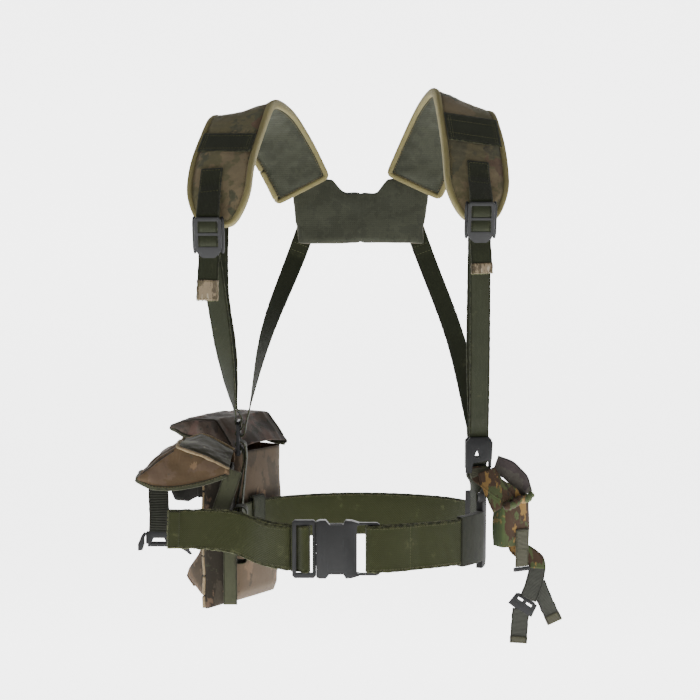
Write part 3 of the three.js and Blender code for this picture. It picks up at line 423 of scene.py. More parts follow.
def skin(name, grid, material, uv, wrap_rows=False, wrap_columns=True, edge=None):
    """A surface over a grid of points.

    Where it wraps round its columns and not its rows, both ends are closed."""
    rows, columns, _ = grid.shape
    faces, corner = grid_faces(rows, columns, wrap_rows, wrap_columns)
    loops = uv[corner[..., 0], corner[..., 1]].reshape(-1, 2)
    faces = faces.tolist()
    if wrap_columns and not wrap_rows:
        first, last = list(range(columns)), list(range((rows - 1) * columns, rows * columns))
        faces += [first, last]
        loops = np.concatenate([loops, uv[0, :columns], uv[rows - 1, :columns]])
    return link(name, grid, faces, material, loops, edge)


def unit(vectors):
    """Each vector divided by its length."""
    return vectors / np.maximum(np.linalg.norm(vectors, axis=-1, keepdims=True), 1e-12)


class Path:
    """A line through space. Each point has a way across and out, half a width and a thickness."""

    def __init__(self, at, side, half, thick, closed=False):
        self.at, self.closed = np.asarray(at, float), closed
        count = len(self.at)
        self.half = np.broadcast_to(half, count).astype(float)
        self.thick = np.broadcast_to(thick, count).astype(float)
        if closed:
            way = np.roll(self.at, -1, 0) - np.roll(self.at, 1, 0)
        else:
            way = np.gradient(self.at, axis=0)
        self.way = unit(way)
        side = np.broadcast_to(side, (count, 3))
        self.side = unit(side - (side * self.way).sum(1, keepdims=True) * self.way)
        self.out = np.cross(self.way, self.side)
        steps = np.linalg.norm(np.diff(self.at, axis=0), axis=1)
        self.along = np.concatenate([[0], np.cumsum(steps)])
        self.length = self.along[-1] + (np.linalg.norm(self.at[0] - self.at[-1]) if closed else 0)

    def values(self, places, *arrays):
        """Any of its arrays at other lengths along it."""
        if self.closed:
            along = np.append(self.along, self.length)
            arrays = [np.concatenate([a, a[:1]]) for a in arrays]
            places = np.mod(places, self.length)
        else:
            along = self.along
        return [np.stack([np.interp(places, along, column) for column in a.reshape(len(a), -1).T], -1)
                for a in arrays]

    def part(self, start=0.0, end=1.0, step=STEP, smooth=2, wider=0.0, thicker=0.0):
        """A finer copy of a share of it, rounded by averaging neighbours."""
        whole = self.closed and start == 0 and end == 1
        low, high = start * self.length, end * self.length
        count = max(int((high - low) / step), 4)
        places = np.linspace(low, high, count, endpoint=not whole)
        at, side, half, thick = self.values(places, self.at, self.side, self.half, self.thick)
        for _ in range(smooth):
            for line in (at, side):
                middle = (np.roll(line, 1, 0) + 2 * line + np.roll(line, -1, 0)) / 4
                line[slice(None) if whole else slice(1, -1)] = middle if whole else middle[1:-1]
        return Path(at, side, half[:, 0] + wider, thick[:, 0] + thicker, whole)


def merged(node):
    """A frame node's own points and triangles, with its doubles merged."""
    mesh = NODES[node].data
    points = np.zeros(len(mesh.vertices) * 3)
    mesh.vertices.foreach_get("co", points)
    corners = np.zeros(len(mesh.loops), int)
    mesh.loops.foreach_get("vertex_index", corners)
    keys = np.round(points.reshape(-1, 3), 6)
    _, first, same = np.unique(keys, axis=0, return_index=True, return_inverse=True)
    return points.reshape(-1, 3)[first], same.ravel()[corners].reshape(-1, 3)


def strip_path(node, width=None):
    """The path of a strip in the frame, ring by ring of four corners from one end to the other.

    Rings are found by walking outwards from an end cap, or on a closed band from the ring that holds
    its first corner and is as wide as given."""
    points, faces = merged(node)
    near = [set() for _ in points]
    for a, b, c in faces.tolist():
        near[a] |= {b, c}
        near[b] |= {a, c}
        near[c] |= {a, b}

    def gap(a, b):
        return float(np.linalg.norm(points[a] - points[b]))

    def group(seeds, allowed):
        found, queue = set(), [seeds]
        while queue:
            one = queue.pop()
            if one not in found:
                found.add(one)
                queue += [n for n in near[one] if n in allowed and n not in found]
        return found

    if width:
        mate = min(near[0], key=lambda n: gap(0, n))
        other = min(near[0] - {mate}, key=lambda n: abs(gap(0, n) - width))
        ring = {0, mate, other, min(near[other], key=lambda n: gap(other, n))}
    else:
        few = {i for i, n in enumerate(near) if len(n) <= 5}
        ring = group(min(few), few)
        if len(ring) == 3:
            trio = list(ring)
            corner = min(trio, key=lambda q: abs(np.dot(
                *[unit(points[n] - points[q]) for n in trio if n != q])))
            ends = [points[n] for n in trio if n != corner]
            goal = ends[0] + ends[1] - points[corner]
            rest = set().union(*(near[n] for n in trio)) - ring
            ring.add(min(rest, key=lambda n: np.linalg.norm(points[n] - goal)))
    rings, seen = [sorted(ring)], set(ring)
    while True:
        ahead = set().union(*(near[n] for n in rings[-1])) - seen
        if not ahead:
            break
        if width and len(rings) == 1:
            ahead = group(min(ahead), ahead)
        rings.append(sorted(ahead)[:4] if len(ahead) > 4 else sorted(ahead))
        seen |= ahead
    centres, sides, halves, thicks = [], [], [], []
    for ring in rings:
        if len(ring) < 4:
            continue
        corner = points[ring]
        mate = 1 + int(np.argmin(np.linalg.norm(corner[1:] - corner[0], axis=1)))
        rest = [i for i in (1, 2, 3) if i != mate]
        one, two = corner[[0, mate]].mean(0), corner[rest].mean(0)
        side = two - one
        if sides and np.dot(side, sides[-1]) < 0:
            side = -side
        centres.append((one + two) / 2)
        sides.append(side)
        halves.append(np.linalg.norm(side) / 2)
        thicks.append(np.linalg.norm(corner[0] - corner[mate]))
    return Path(centres, np.array(sides), halves, thicks, closed=bool(width))


def strip(name, path, material, wobble=0.0, seed=1, columns=12, ragged=0.0):
    """Webbing: a flat section with round edges along a path, with a little sway and ragged edges."""
    bend = np.linspace(-math.pi / 2, math.pi / 2, 5)
    flat = np.linspace(-1, 1, columns)
    radius = path.thick[:, None] / 2
    reach = path.half[:, None] - radius
    face = radius * np.ones(columns)
    across = np.concatenate([
        reach * flat, reach + radius * np.cos(bend[::-1]),
        reach * flat[::-1], -reach - radius * np.cos(bend)], 1)
    height = np.concatenate([face, radius * np.sin(bend[::-1]), -face, radius * np.sin(bend)], 1)
    share = across / path.half[:, None]
    along = path.along[:, None]
    fit = np.clip(np.minimum(along, path.length - along) / 0.01, 0, 1)
    if path.closed:
        fit = np.ones_like(along)
        along = np.sin(along / path.length * TAU) * path.length / 4
    sway = wobble * fit * (waves(along, seed, 0.06) * 0.6 + share * waves(along, seed + 7, 0.045) * 0.7)
    across = across * (1 + ragged * waves(along, seed + 3, 0.012) / np.maximum(path.half[:, None], 1e-6))
    grid = (path.at[:, None] + across[..., None] * path.side[:, None]
            + (height + sway)[..., None] * path.out[:, None])
    rows, total = across.shape
    places = np.append(path.along, path.length)
    uv = np.stack([np.concatenate([across, across[:, :1]], 1)[np.append(np.arange(rows), 0)],
                   np.repeat(places[:, None], total + 1, 1)], -1)
    return skin(name, grid, material, uv, wrap_rows=path.closed, edge=np.abs(share))


def tube(name, points, radius, material, around=10, closed=False, flat=1.0, up=(0, 0, 1)):
    """A round or flattened rope of cloth along points; its radius may change along it."""
    path = Path(points, up, 1.0, 1.0, closed)
    radius = np.broadcast_to(radius, len(path.at))[:, None]
    angle = np.linspace(0, TAU, around, endpoint=False)[None]
    grid = (path.at[:, None] + (radius * np.cos(angle))[..., None] * path.side[:, None]
            + (flat * radius * np.sin(angle))[..., None] * path.out[:, None])
    u = np.linspace(0, TAU, around + 1)[None] * radius
    u = np.concatenate([u, u[:1]])
    v = np.append(path.along, path.length)[:, None]
    return skin(name, grid, material, np.stack(np.broadcast_arrays(u, v), -1), wrap_rows=closed,
                edge=np.zeros((len(path.at), around)))


def threads(name, centre, along, up, length, radius, material):
    """Many short strands as one mesh: a six-sided barrel turned to each strand's own ways."""
    centre, along, up = (np.asarray(a, float).reshape(-1, 3) for a in (centre, along, up))
    along = unit(along)
    up = unit(up - (up * along).sum(1, keepdims=True) * along)
    side = np.cross(along, up)
    length = np.broadcast_to(length, len(centre))[:, None, None]
    station = np.array([-0.5, -0.38, 0.0, 0.38, 0.5])
    girth = np.array([0.2, 0.8, 1.0, 0.8, 0.2]) * radius
    angle = np.linspace(0, TAU, 6, endpoint=False)
    ring = np.stack([np.cos(angle), np.sin(angle)], -1)
    shape = (centre[:, None, None] + (station[None, :, None] * length)[..., None] * along[:, None, None]
             + (girth[:, None] * ring[None, :, 0])[None, ..., None] * side[:, None, None]
             + (girth[:, None] * ring[None, :, 1])[None, ..., None] * up[:, None, None])
    quads, _ = grid_faces(5, 6, False, True)
    starts = np.arange(len(centre)) * 30
    faces = (quads[None] + starts[:, None, None]).reshape(-1, 4).tolist()
    for cap in (np.arange(6), np.arange(24, 30)):
        faces += (cap[None] + starts[:, None]).tolist()
    return link(name, shape, faces, material)


def sewn(name, path, offsets, size, body, material="thread", ends=0.003, crossings=(), span=(0, 1)):
    """Rows of stitches on both faces of a path.

    They run along it at offsets from its middle, and across it at shares of its length."""
    faces = (1, -1)
    low, high = path.length * span[0] + ends, path.length * span[1] - ends
    places = np.arange(low, high, size.stitch)
    at, side, out, way, thick = path.values(places, path.at, path.side, path.out, path.way, path.thick)
    spots = [(at + offset * side + face * (thick / 2 + THREAD_LIFT) * out, way, out)
             for offset in offsets for face in faces]
    for share in crossings:
        count = int(2 * path.half.min() / size.stitch) - 1
        shift = (np.arange(count) - (count - 1) / 2)[:, None] * size.stitch
        place = np.full(count, share * path.length)
        at, side, out, thick = path.values(place, path.at, path.side, path.out, path.thick)
        spots += [(at + shift * side + face * (thick / 2 + THREAD_LIFT) * out, side, out) for face in faces]
    centre, along, up = (np.concatenate([spot[i] for spot in spots]) for i in range(3))
    piece = threads(name, centre, along, up, size.stitch * 0.68, size.thread, material)
    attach(piece, body)
    return piece


def fray(name, path, share, body, count=70, reach=0.004, material="fibre", seed=5, edges=False):
    """Loose fibres at the end of a strip, or along both its edges."""
    random = np.random.default_rng(seed)
    if edges:
        places = random.uniform(0.02, 0.98, count) * path.length
        at, side, out, way, half = path.values(places, path.at, path.side, path.out, path.way, path.half)
        sign = np.where(random.uniform(size=count) < 0.7, 1, -1)[:, None]
        centre = at + sign * side * half
        lengthwise, outwards = random.normal(size=(count, 1)), random.normal(size=(count, 1))
        along = sign * side * 0.5 + way * lengthwise + out * outwards * 0.4
    else:
        places = np.full(count, share * path.length)
        at, side, out, way, half = path.values(places, path.at, path.side, path.out, path.way, path.half)
        toward = 1 if share > 0.5 else -1
        centre = at + side * half * random.uniform(-0.97, 0.97, (count, 1))
        sideways, outwards = random.normal(size=(count, 1)), random.normal(size=(count, 1))
        along = toward * way + side * sideways * 0.45 + out * outwards * 0.3
    piece = threads(name, centre, along, out, reach * random.uniform(0.4, 1.2, count), 0.00016, material)
    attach(piece, body)
    return piece


def settle(piece, node, *more):
    """The piece stands for frame nodes, which it hides, and moves with the first one's body."""
    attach(piece, NODES[node]["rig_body"])
    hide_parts(node, *more)
    return piece


def woven(node, path, material, wobble=0.0, seed=1, columns=12, ragged=0.0):
    """The webbing that stands for one strip of the frame."""
    return settle(strip(f"{node}_woven", path, material, wobble, seed, columns, ragged), node)


def copied(node, name, material):
    """A merged copy of a frame node."""
    points, faces = merged(node)
    return link(name, points, faces.tolist(), material)


def bevelled(piece, width, segments=2, angle=30):
    """Takes the sharpness off a piece's edges."""
    work = bmesh.new()
    work.from_mesh(piece.data)
    bmesh.ops.dissolve_limit(work, angle_limit=0.01, verts=work.verts, edges=work.edges)
    edges = [e for e in work.edges if len(e.link_faces) == 2 and e.calc_face_angle() > math.radians(angle)]
    bmesh.ops.bevel(work, geom=edges, offset=width, segments=segments, profile=0.6, affect="EDGES",
                    clamp_overlap=True)
    bmesh.ops.triangulate(work, faces=[f for f in work.faces if len(f.verts) > 4])
    bmesh.ops.recalc_face_normals(work, faces=work.faces)
    work.to_mesh(piece.data)
    work.free()
    piece.data.set_sharp_from_angle(angle=math.radians(40))
    return piece


def moulded(node, width=0.0007):
    """A hard frame node with rounded edges in scuffed plastic."""
    return settle(bevelled(copied(node, f"{node}_moulded", "plastic"), width), node)


def points_of(mesh):
    """A mesh's points as rows of x, y and z."""
    points = np.zeros(len(mesh.vertices) * 3)
    mesh.vertices.foreach_get("co", points)
    return points.reshape(-1, 3)


def normals_of(mesh):
    """The way out of a mesh at each of its points."""
    normals = np.zeros(len(mesh.vertices) * 3)
    mesh.vertices.foreach_get("normal", normals)
    return normals.reshape(-1, 3)


def apply_all(piece):
    """Applies a piece's modifiers to its mesh."""
    graph = bpy.context.evaluated_depsgraph_get()
    mesh = bpy.data.meshes.new_from_object(piece.evaluated_get(graph))
    piece.modifiers.clear()
    piece.data = mesh
    return piece


def filled(piece, voxel, pressure, cap):
    """Stuffs a closed piece: an even mesh, air pressure on simulated cloth, and one subdivision.

    No point moves further than the cap."""
    remesh = piece.modifiers.new("Even mesh", "REMESH")
    remesh.mode, remesh.voxel_size, remesh.use_smooth_shade = "VOXEL", voxel, True
    apply_all(piece)
    start = points_of(piece.data)
    cloth = piece.modifiers.new("Cloth", "CLOTH")
    cloth.settings.use_pressure = True
    cloth.settings.uniform_pressure_force = pressure
    cloth.settings.effector_weights.gravity = 0
    cloth.settings.quality = 4
    cloth.point_cache.frame_end = CLOTH_FRAMES
    for number in range(1, CLOTH_FRAMES + 1):
        bpy.context.scene.frame_set(number)
    graph = bpy.context.evaluated_depsgraph_get()
    moved = points_of(piece.evaluated_get(graph).data)
    piece.modifiers.remove(cloth)
    bpy.context.scene.frame_set(1)
    move = moved - start
    far = np.linalg.norm(move, axis=1, keepdims=True)
    move = move * np.minimum(1, cap / np.maximum(far, 1e-9))
    piece.data.vertices.foreach_set("co", (start + move).ravel())
    finer = piece.modifiers.new("Finer", "SUBSURF")
    finer.levels = finer.render_levels = 1
    return apply_all(piece)


def push(piece, amount):
    """Moves each point of a piece along its normal by an amount."""
    points = points_of(piece.data) + normals_of(piece.data) * np.asarray(amount)[:, None]
    piece.data.vertices.foreach_set("co", points.ravel())
    piece.data.update()
    return piece


# ---- Pouch frames ----
class Place:
    """A pouch's own frame: x away from the wearer, y across it and z up."""

    def __init__(self, x, y, z, turn):
        self.origin = np.array([x, y, z])
        a = math.radians(turn)
        self.turn = np.array([[math.cos(a), -math.sin(a), 0], [math.sin(a), math.cos(a), 0], [0, 0, 1]])

    def __call__(self, *xyz):
        local = np.stack(np.broadcast_arrays(*[np.asarray(v, float) for v in xyz]), -1)
        return local @ self.turn.T + self.origin

    def way(self, *xyz):
        """A way in this frame, turned into the scene's."""
        return self.turn @ np.array(xyz, float)


FRONT_POUCH = Place(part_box("front_pouch_body")[1].x, -0.017, 0, 180)
REAR_POUCH = Place(-0.130, 0.0742, 0, 145)
SIDE_POUCH = Place(0.192, 0.004, 0.040, 30)


def bag(name, place, material, outline, half, cap, seed, folds, bulge, wall=0.0025, corner=6.0):
    """A sewn bag, open at the top: rounded oblong rings from its base up, over the rim and down inside.

    outline gives, for a height share from 0 to 1, the near x, the far x and the z of a ring's two sides."""
    heights = np.concatenate([np.full(3, 0.0), np.linspace(0.0, 1.0, 46), np.full(2, 1.0),
                              np.linspace(1.0, cap, 26), np.full(3, cap)])
    shrink = np.concatenate([[0.05, 0.5, 0.85], np.ones(46), np.ones(2), np.ones(26), [0.85, 0.5, 0.05]])
    inset = np.concatenate([np.zeros(49), [0.35, 0.75], np.ones(29)]) * wall
    angle = np.linspace(0, TAU, 96, endpoint=False)
    c, s = np.cos(angle), np.sin(angle)
    cx, cy = (np.sign(t) * np.abs(t) ** (2 / corner) for t in (c, s))
    near, far, low_near, low_far = (v[:, None] for v in outline(heights))
    middle, reach = (near + far) / 2, (far - near) / 2
    puff = bulge * np.sin(math.pi * np.clip(heights, 0.02, 0.98))[:, None] * (1 - 0.6 * np.abs(c * s) * 2)
    x = middle + (reach - inset[:, None] + puff * 0.6) * cx * shrink[:, None]
    y = (half - inset[:, None] + puff) * cy * shrink[:, None]
    side = (x - near) / np.maximum(far - near, 1e-6)
    z = low_near + (low_far - low_near) * side
    grid = place(x, y, z)
    fade = np.clip(np.sin(math.pi * np.clip(heights, 0, 0.97)), 0.15, 1)[:, None] * (shrink[:, None] > 0.9)
    fold = folds * fade * creases(grid, seed, 0.045, (1.0, 1.0, 0.45))
    outward = place.turn @ np.array([1.0, 0, 0]), place.turn @ np.array([0, 1.0, 0])
    grid = grid + fold[..., None] * (cx[None, :, None] * outward[0] + cy[None, :, None] * outward[1])
    return skin(name, grid, material, no_uv(grid))


def no_uv(grid):
    """Empty places for a surface whose finish is read from space."""
    return np.zeros((grid.shape[0] + 1, grid.shape[1] + 1, 2))


def lid(name, place, ridge, low, half, materials, seed, rise, crown, top_end, folds, thickness):
    """A pouch lid: arched sections from the hinge to the tip, from one lower edge to the other.

    ridge and low are (x, z) corners of its profile; the far side of the top stands higher by rise."""
    x = np.linspace(ridge[0][0], ridge[-1][0], 60)
    top = np.interp(x, *np.transpose(ridge))[:, None]
    bottom = np.minimum(np.interp(x, *np.transpose(low))[:, None], top - 0.0015)
    t = np.linspace(-1, 1, 81)[None]
    wall = 0.36
    on_top = np.clip(t / (1 - wall), -1, 1)
    down = np.clip((np.abs(t) - (1 - wall)) / wall, 0, 1)
    width = half * (1 - 0.10 * np.clip((x - 0.8 * x[-1]) / (0.2 * x[-1]), 0, 1) ** 2)[:, None]
    y = width * np.sign(on_top) * np.abs(on_top) ** 0.94 * (1 + 0.05 * np.sin(math.pi * down))
    away = np.clip((top_end - x) / (0.35 * top_end), 0, 1)[:, None]
    far_side = rise * away - 0.004 * (rise > 0) * (1 - away)
    tall = top + far_side * (1 - on_top) / 2 + crown * (1 - on_top ** 2)
    z = tall + (bottom - tall) * down ** 1.1
    grid = place(np.broadcast_to(x[:, None], z.shape), y, z)
    normal = unit(np.cross(np.gradient(grid, axis=0), np.gradient(grid, axis=1)))
    if normal[30, 40, 2] < 0:
        normal = -normal
    fold = creases(grid, seed, 0.05, (0.7, 1.0, 1.3)) + 0.45 * creases(grid, seed + 1, 0.017)
    pinch = np.exp(-((down - 0.02) / 0.05) ** 2) * (np.abs(t) > 0.5)
    grid = grid + (folds * fold * (1 - 0.7 * pinch) - 0.0012 * pinch)[..., None] * normal
    piece = skin(name, grid, materials[0], no_uv(grid), wrap_columns=False)
    piece.data.materials.append(MATERIALS[materials[1]])
    row, column = np.divmod(np.arange(59 * 80), 80)
    is_top = (np.abs(t[0][column] + 0.0125) < 1 - wall) & (x[row] < top_end)
    piece.data.polygons.foreach_set("material_index", is_top.astype(np.int32))
    solid = piece.modifiers.new("Cloth", "SOLIDIFY")
    solid.thickness, solid.offset = thickness, -1
    finer = piece.modifiers.new("Finer", "SUBSURF")
    finer.levels = finer.render_levels = 1
    return piece, grid


def on_skirt(grid, stations, place, x, z):
    """Points on a lid's front skirt at given profile places, found between its rows and columns."""
    rows = np.interp(x, stations, np.arange(len(stations))).round().astype(int)
    skirt = grid[:, 80:64:-1]
    depth = [np.interp(height, skirt[row, :, 2], (skirt[row] - place.origin) @ place.turn[:, 1])
             for row, height in zip(rows, z)]
    return place(x, np.array(depth) + 0.0003, z)


def lower_edge(grid, half, thick):
    """The path of the tape round a lid's open edge."""
    line = np.concatenate([grid[2:, 0], grid[-1, 1:-1:4], grid[2:, -1][::-1]])
    return Path(line, (0, 0, 1), half, thick).part(step=0.0025, smooth=3)


def ride_on(body, *made):
    """Makes pieces move with a body."""
    for piece in made:
        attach(piece, body)


# ---- Groups of pieces ----
def build_belt(size):
    """The waist belt: its band, front stretch, folds, free end, keeper and hip sleeve."""
    band = strip_path("belt_band").part()
    woven("belt_band", band, "belt", 0.0, 3, 22, 0.0002)
    sewn("belt_band_sewing", band, (-0.0255, 0.0255), size, "harness")
    joint = strip_path("belt_front_right").part()
    piece = strip("belt_front_right_woven", joint, "belt", 0.0, 4, 22, 0.0002)
    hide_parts("belt_front_right")
    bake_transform(piece)
    fold = strip_path("belt_end_fold").part()
    woven("belt_end_fold", fold, "belt", 0.0, 5, 22, 0.0003)
    sewn("belt_end_fold_sewing", fold, (-0.0248, 0.0248), size, "harness", crossings=(0.5,))
    fray("belt_end_fold_fray", fold, 0.5, "harness", 160, 0.0022, edges=True, seed=11)
    woven("belt_wrap", strip_path("belt_wrap").part(), "belt", 0.0, 6, 22, 0.0002)
    tail = strip_path("belt_tail").part()
    far = 1.0 if tail.at[-1][0] < tail.at[0][0] else 0.0
    free = (tail.at[0, 0] - tail.at[:, 0]) / (tail.at[0, 0] - tail.at[-1, 0])
    shrink = np.interp(free if far else 1 - free, [0, 0.5, 1], [0, 0.002, 0.0042])
    raised = tail.at + np.array([[0, 0, 1]]) * shrink[:, None] * 0.8
    tail = Path(raised, tail.side, tail.half - shrink, tail.thick)
    woven("belt_tail", tail, "belt", 0.0011, 7, 22, 0.0007)
    hem = tail.part(*((0.915, 0.999) if far else (0.001, 0.085)), thicker=0.0026, wider=0.0004)
    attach(strip("belt_tail_hem", hem, "belt", 0.0006, 8, 22, 0.0006), "tail")
    sewn("belt_tail_sewing", tail, (-0.0222, 0.0222), size, "tail", crossings=(0.90 if far else 0.10,))
    fray("belt_tail_fray_top", tail, far, "tail", 340, 0.0026, edges=True, seed=12)
    fray("belt_tail_fray_end", hem, far, "tail", 150, 0.0042, seed=13)
    keeper = bevelled(copied("belt_keeper", "belt_keeper_woven", "keeper"), 0.0011, 3, 40)
    settle(keeper, "belt_keeper")
    sleeve = bevelled(copied("hip_sleeve", "hip_sleeve_sewn", "sleeve"), 0.0009, 3, 40)
    settle(sleeve, "hip_sleeve")


def build_hardware():
    """The moulded buckles, locks, connectors and bars."""
    for node in ("buckle_female", "buckle_male", "tine_upper", "tine_lower"):
        moulded(node, 0.0009)
    for node in ("ladder_lock_left", "ladder_lock_right", "side_connector_left", "side_connector_right",
                 "clasp_male", "clasp_prong_outer", "clasp_prong_inner", "clasp_female", "side_tab_bar",
                 "side_ladder"):
        moulded(node, 0.0007)
    build_fittings()


class Fitting:
    """A buckle's or lock's own frame: x along its bars, y behind it and z up its tilted face."""

    def __init__(self, origin, tilt=0.0, turn=0.0, roll=0.0):
        self.origin = np.array(origin)
        angles = (turn, "Z"), (roll, "Y"), (tilt, "X")
        z, y, x = (np.array(Matrix.Rotation(math.radians(angle), 3, axis)) for angle, axis in angles)
        self.turn = z @ y @ x

    def __call__(self, *xyz):
        local = np.stack(np.broadcast_arrays(*[np.asarray(v, float) for v in xyz]), -1)
        return local @ self.turn.T + self.origin


def slab(name, fitting, outline, near, far, body, holes=(), bevel=0.0007):
    """A moulded plate on a fitting: an outline made thick from near to far, less its windows."""
    work = bmesh.new()
    rings = []
    for line in (outline, *holes):
        rings.append([work.verts.new(fitting(x, near, z)) for x, z in line])
        for one, two in zip(rings[-1], rings[-1][1:] + rings[-1][:1]):
            work.edges.new((one, two))
    bmesh.ops.triangle_fill(work, use_beauty=True, edges=list(work.edges))
    thick = Vector(fitting(0, far, 0) - fitting(0, near, 0))
    grown = bmesh.ops.extrude_face_region(work, geom=list(work.faces))["geom"]
    bmesh.ops.translate(work, vec=thick, verts=[v for v in grown if isinstance(v, bmesh.types.BMVert)])
    bmesh.ops.recalc_face_normals(work, faces=work.faces)
    mesh = bpy.data.meshes.new(name)
    work.to_mesh(mesh)
    work.free()
    piece = bevelled(present(mesh, name, "plastic"), bevel)
    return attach(piece, body)


def four_sided(low_half, high_half, low, high):
    """An outline with level ends, as wide at each end as given."""
    return [(-low_half, low), (low_half, low), (high_half, high), (-high_half, high)]


def build_lock(side):
    """A ladder lock's round cheeks, its stout frame with two windows, and the webbing seen through them."""
    lock = Fitting(LOCK_PLACES[side], LOCK_TILT)
    body = f"lock_{side}"
    z = np.linspace(-0.0225, 0.0225, 24)
    girth = 0.0021 * np.clip(1.25 - (z / 0.0245) ** 6, 0.6, 1.25)
    for i, sign in enumerate((-1, 1)):
        cheek_at = lock(sign * 0.0166 + 0 * z, -0.0006 + 0 * z, z)
        cheek = tube(f"ladder_lock_cheek_{side}_{i}", cheek_at, girth, "plastic", 12, flat=1.35, up=(1, 0, 0))
        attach(cheek, body)
    right = [(0.0135, 0.0240), (0.0160, 0.0215), (0.0160, -0.0150), (0.0125, -0.0215), (0.0070, -0.0262)]
    left = [(-x, z) for x, z in right[::-1]]
    windows = [four_sided(0.0115, 0.0115, low, high) for low, high in ((0.0052, 0.0192), (-0.0122, 0.0015))]
    edge = [left[-2], left[-1], *right, *left[:-2]]
    slab(f"ladder_lock_frame_{side}", lock, edge, -0.0092, -0.0058, body, windows, 0.0011)
    rows = np.linspace(0, 1, 16)
    for i, (low, high) in enumerate(((0.0040, 0.0205), (-0.0135, 0.0025))):
        band = lock(0 * rows, -0.0066 - 0.0030 * np.sin(math.pi * rows), low + rows * (high - low))
        web = Path(band, lock.turn[:, 0], 0.0118, 0.0016)
        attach(strip(f"ladder_lock_band_{side}_{i}", web, "strap", 0.0, 60 + i, 12, 0.0002), body)


def build_fittings():
    """Thicker moulded parts in front of the flat plates: lock frames, connector shield, clasp and prongs."""
    build_lock("left")
    build_lock("right")
    shield = Fitting((0.149, 0.0, 0.098), 0, 8)
    edge = [(-0.0175, -0.024), (-0.0095, -0.024), (-0.0080, -0.0115), (0.0165, -0.0075),
            (0.0175, 0.015), (0.012, 0.0215), (-0.012, 0.0215), (-0.0175, 0.015)]
    gap = [(-0.0065, -0.0045), (0.0005, -0.0045), (-0.003, 0.0055)]
    slab("side_connector_shield", shield, edge, -0.0072, -0.0046, "harness", [gap], 0.0008)
    low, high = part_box("clasp_male")
    clasp = Fitting(((low.x + high.x) / 2, (low.y + high.y) / 2, 0.004))
    slab("clasp_shell", clasp, four_sided(0.0140, 0.0130, -0.0140, 0.0050), -0.0052, -0.0024, "clasp",
         [four_sided(0.0095, 0.0060, -0.0098, -0.0025)])
    outer = [(-0.0178, 0.0050), (-0.0178, -0.0105), (-0.0205, -0.0185),
             (-0.0262, -0.0190), (-0.0262, -0.0110), (-0.0215, 0.0000)]
    slab("clasp_prong_outer_blade", clasp, outer, -0.0052, -0.0024, "prong_outer")
    inner = [(0.0178, -0.0005), (0.0178, -0.0105), (0.0345, -0.0210), (0.0385, -0.0180), (0.0215, -0.0010)]
    slab("clasp_prong_inner_blade", clasp, inner, -0.0048, -0.0024, "prong_inner")
    low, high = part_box("side_ladder")
    ladder = Fitting((low + high) / 2, 0, 0, 32)
    slots = [[(-0.0105, 0.0015), (-0.0030, 0.0015), (-0.0030, 0.0055), (-0.0105, 0.0055)],
             [(0.0020, 0.0015), (0.0105, 0.0015), (0.0105, 0.0050), (0.0020, 0.0050)]]
    slab("side_ladder_frame", ladder, four_sided(0.0175, 0.0155, -0.0085, 0.0085), -0.0042, -0.0014,
         "side_lock", slots)


def pad_shape(name, path, thick, material):
    """A pad: a pillow section carried along its path, thinner to its sewn edge and closed at both ends."""
    angle = np.linspace(0, TAU, 56, endpoint=False)
    c, s = np.cos(angle)[None], np.sin(angle)[None]
    end = np.minimum(path.along, path.length - path.along)[:, None]
    close = np.sqrt(np.clip(1 - (1 - np.clip(end / 0.007, 0.02, 1)) ** 2, 0.02, 1))
    across = path.half[:, None] * np.sign(c) * np.abs(c) ** 0.55
    swell = 1 - 0.35 * np.abs(c) ** 4
    height = thick * close * np.sign(s) * np.abs(s) ** 0.7 * swell
    grid = path.at[:, None] + across[..., None] * path.side[:, None] + height[..., None] * path.out[:, None]
    return skin(name, grid, material, no_uv(grid))


def rim(path, inward):
    """Points round a pad's edge, moved in from it, with the way out of the pad at each."""
    one = path.at + path.side * (path.half - inward)[:, None]
    two = path.at - path.side * (path.half - inward)[:, None]
    first, last = one[0] + path.way[0] * inward, one[-1] - path.way[-1] * inward
    ends = [first, two[0] + path.way[0] * inward, last, two[-1] - path.way[-1] * inward]
    points = np.concatenate([one[2:-2], [ends[2]], [ends[3]], two[2:-2][::-1], [ends[1]], [ends[0]]])
    outs = np.concatenate([path.out[2:-2], path.out[-1:], path.out[-1:], path.out[2:-2][::-1], path.out[:1],
                           path.out[:1]])
    return Path(points, outs, 1.0, 1.0, True)


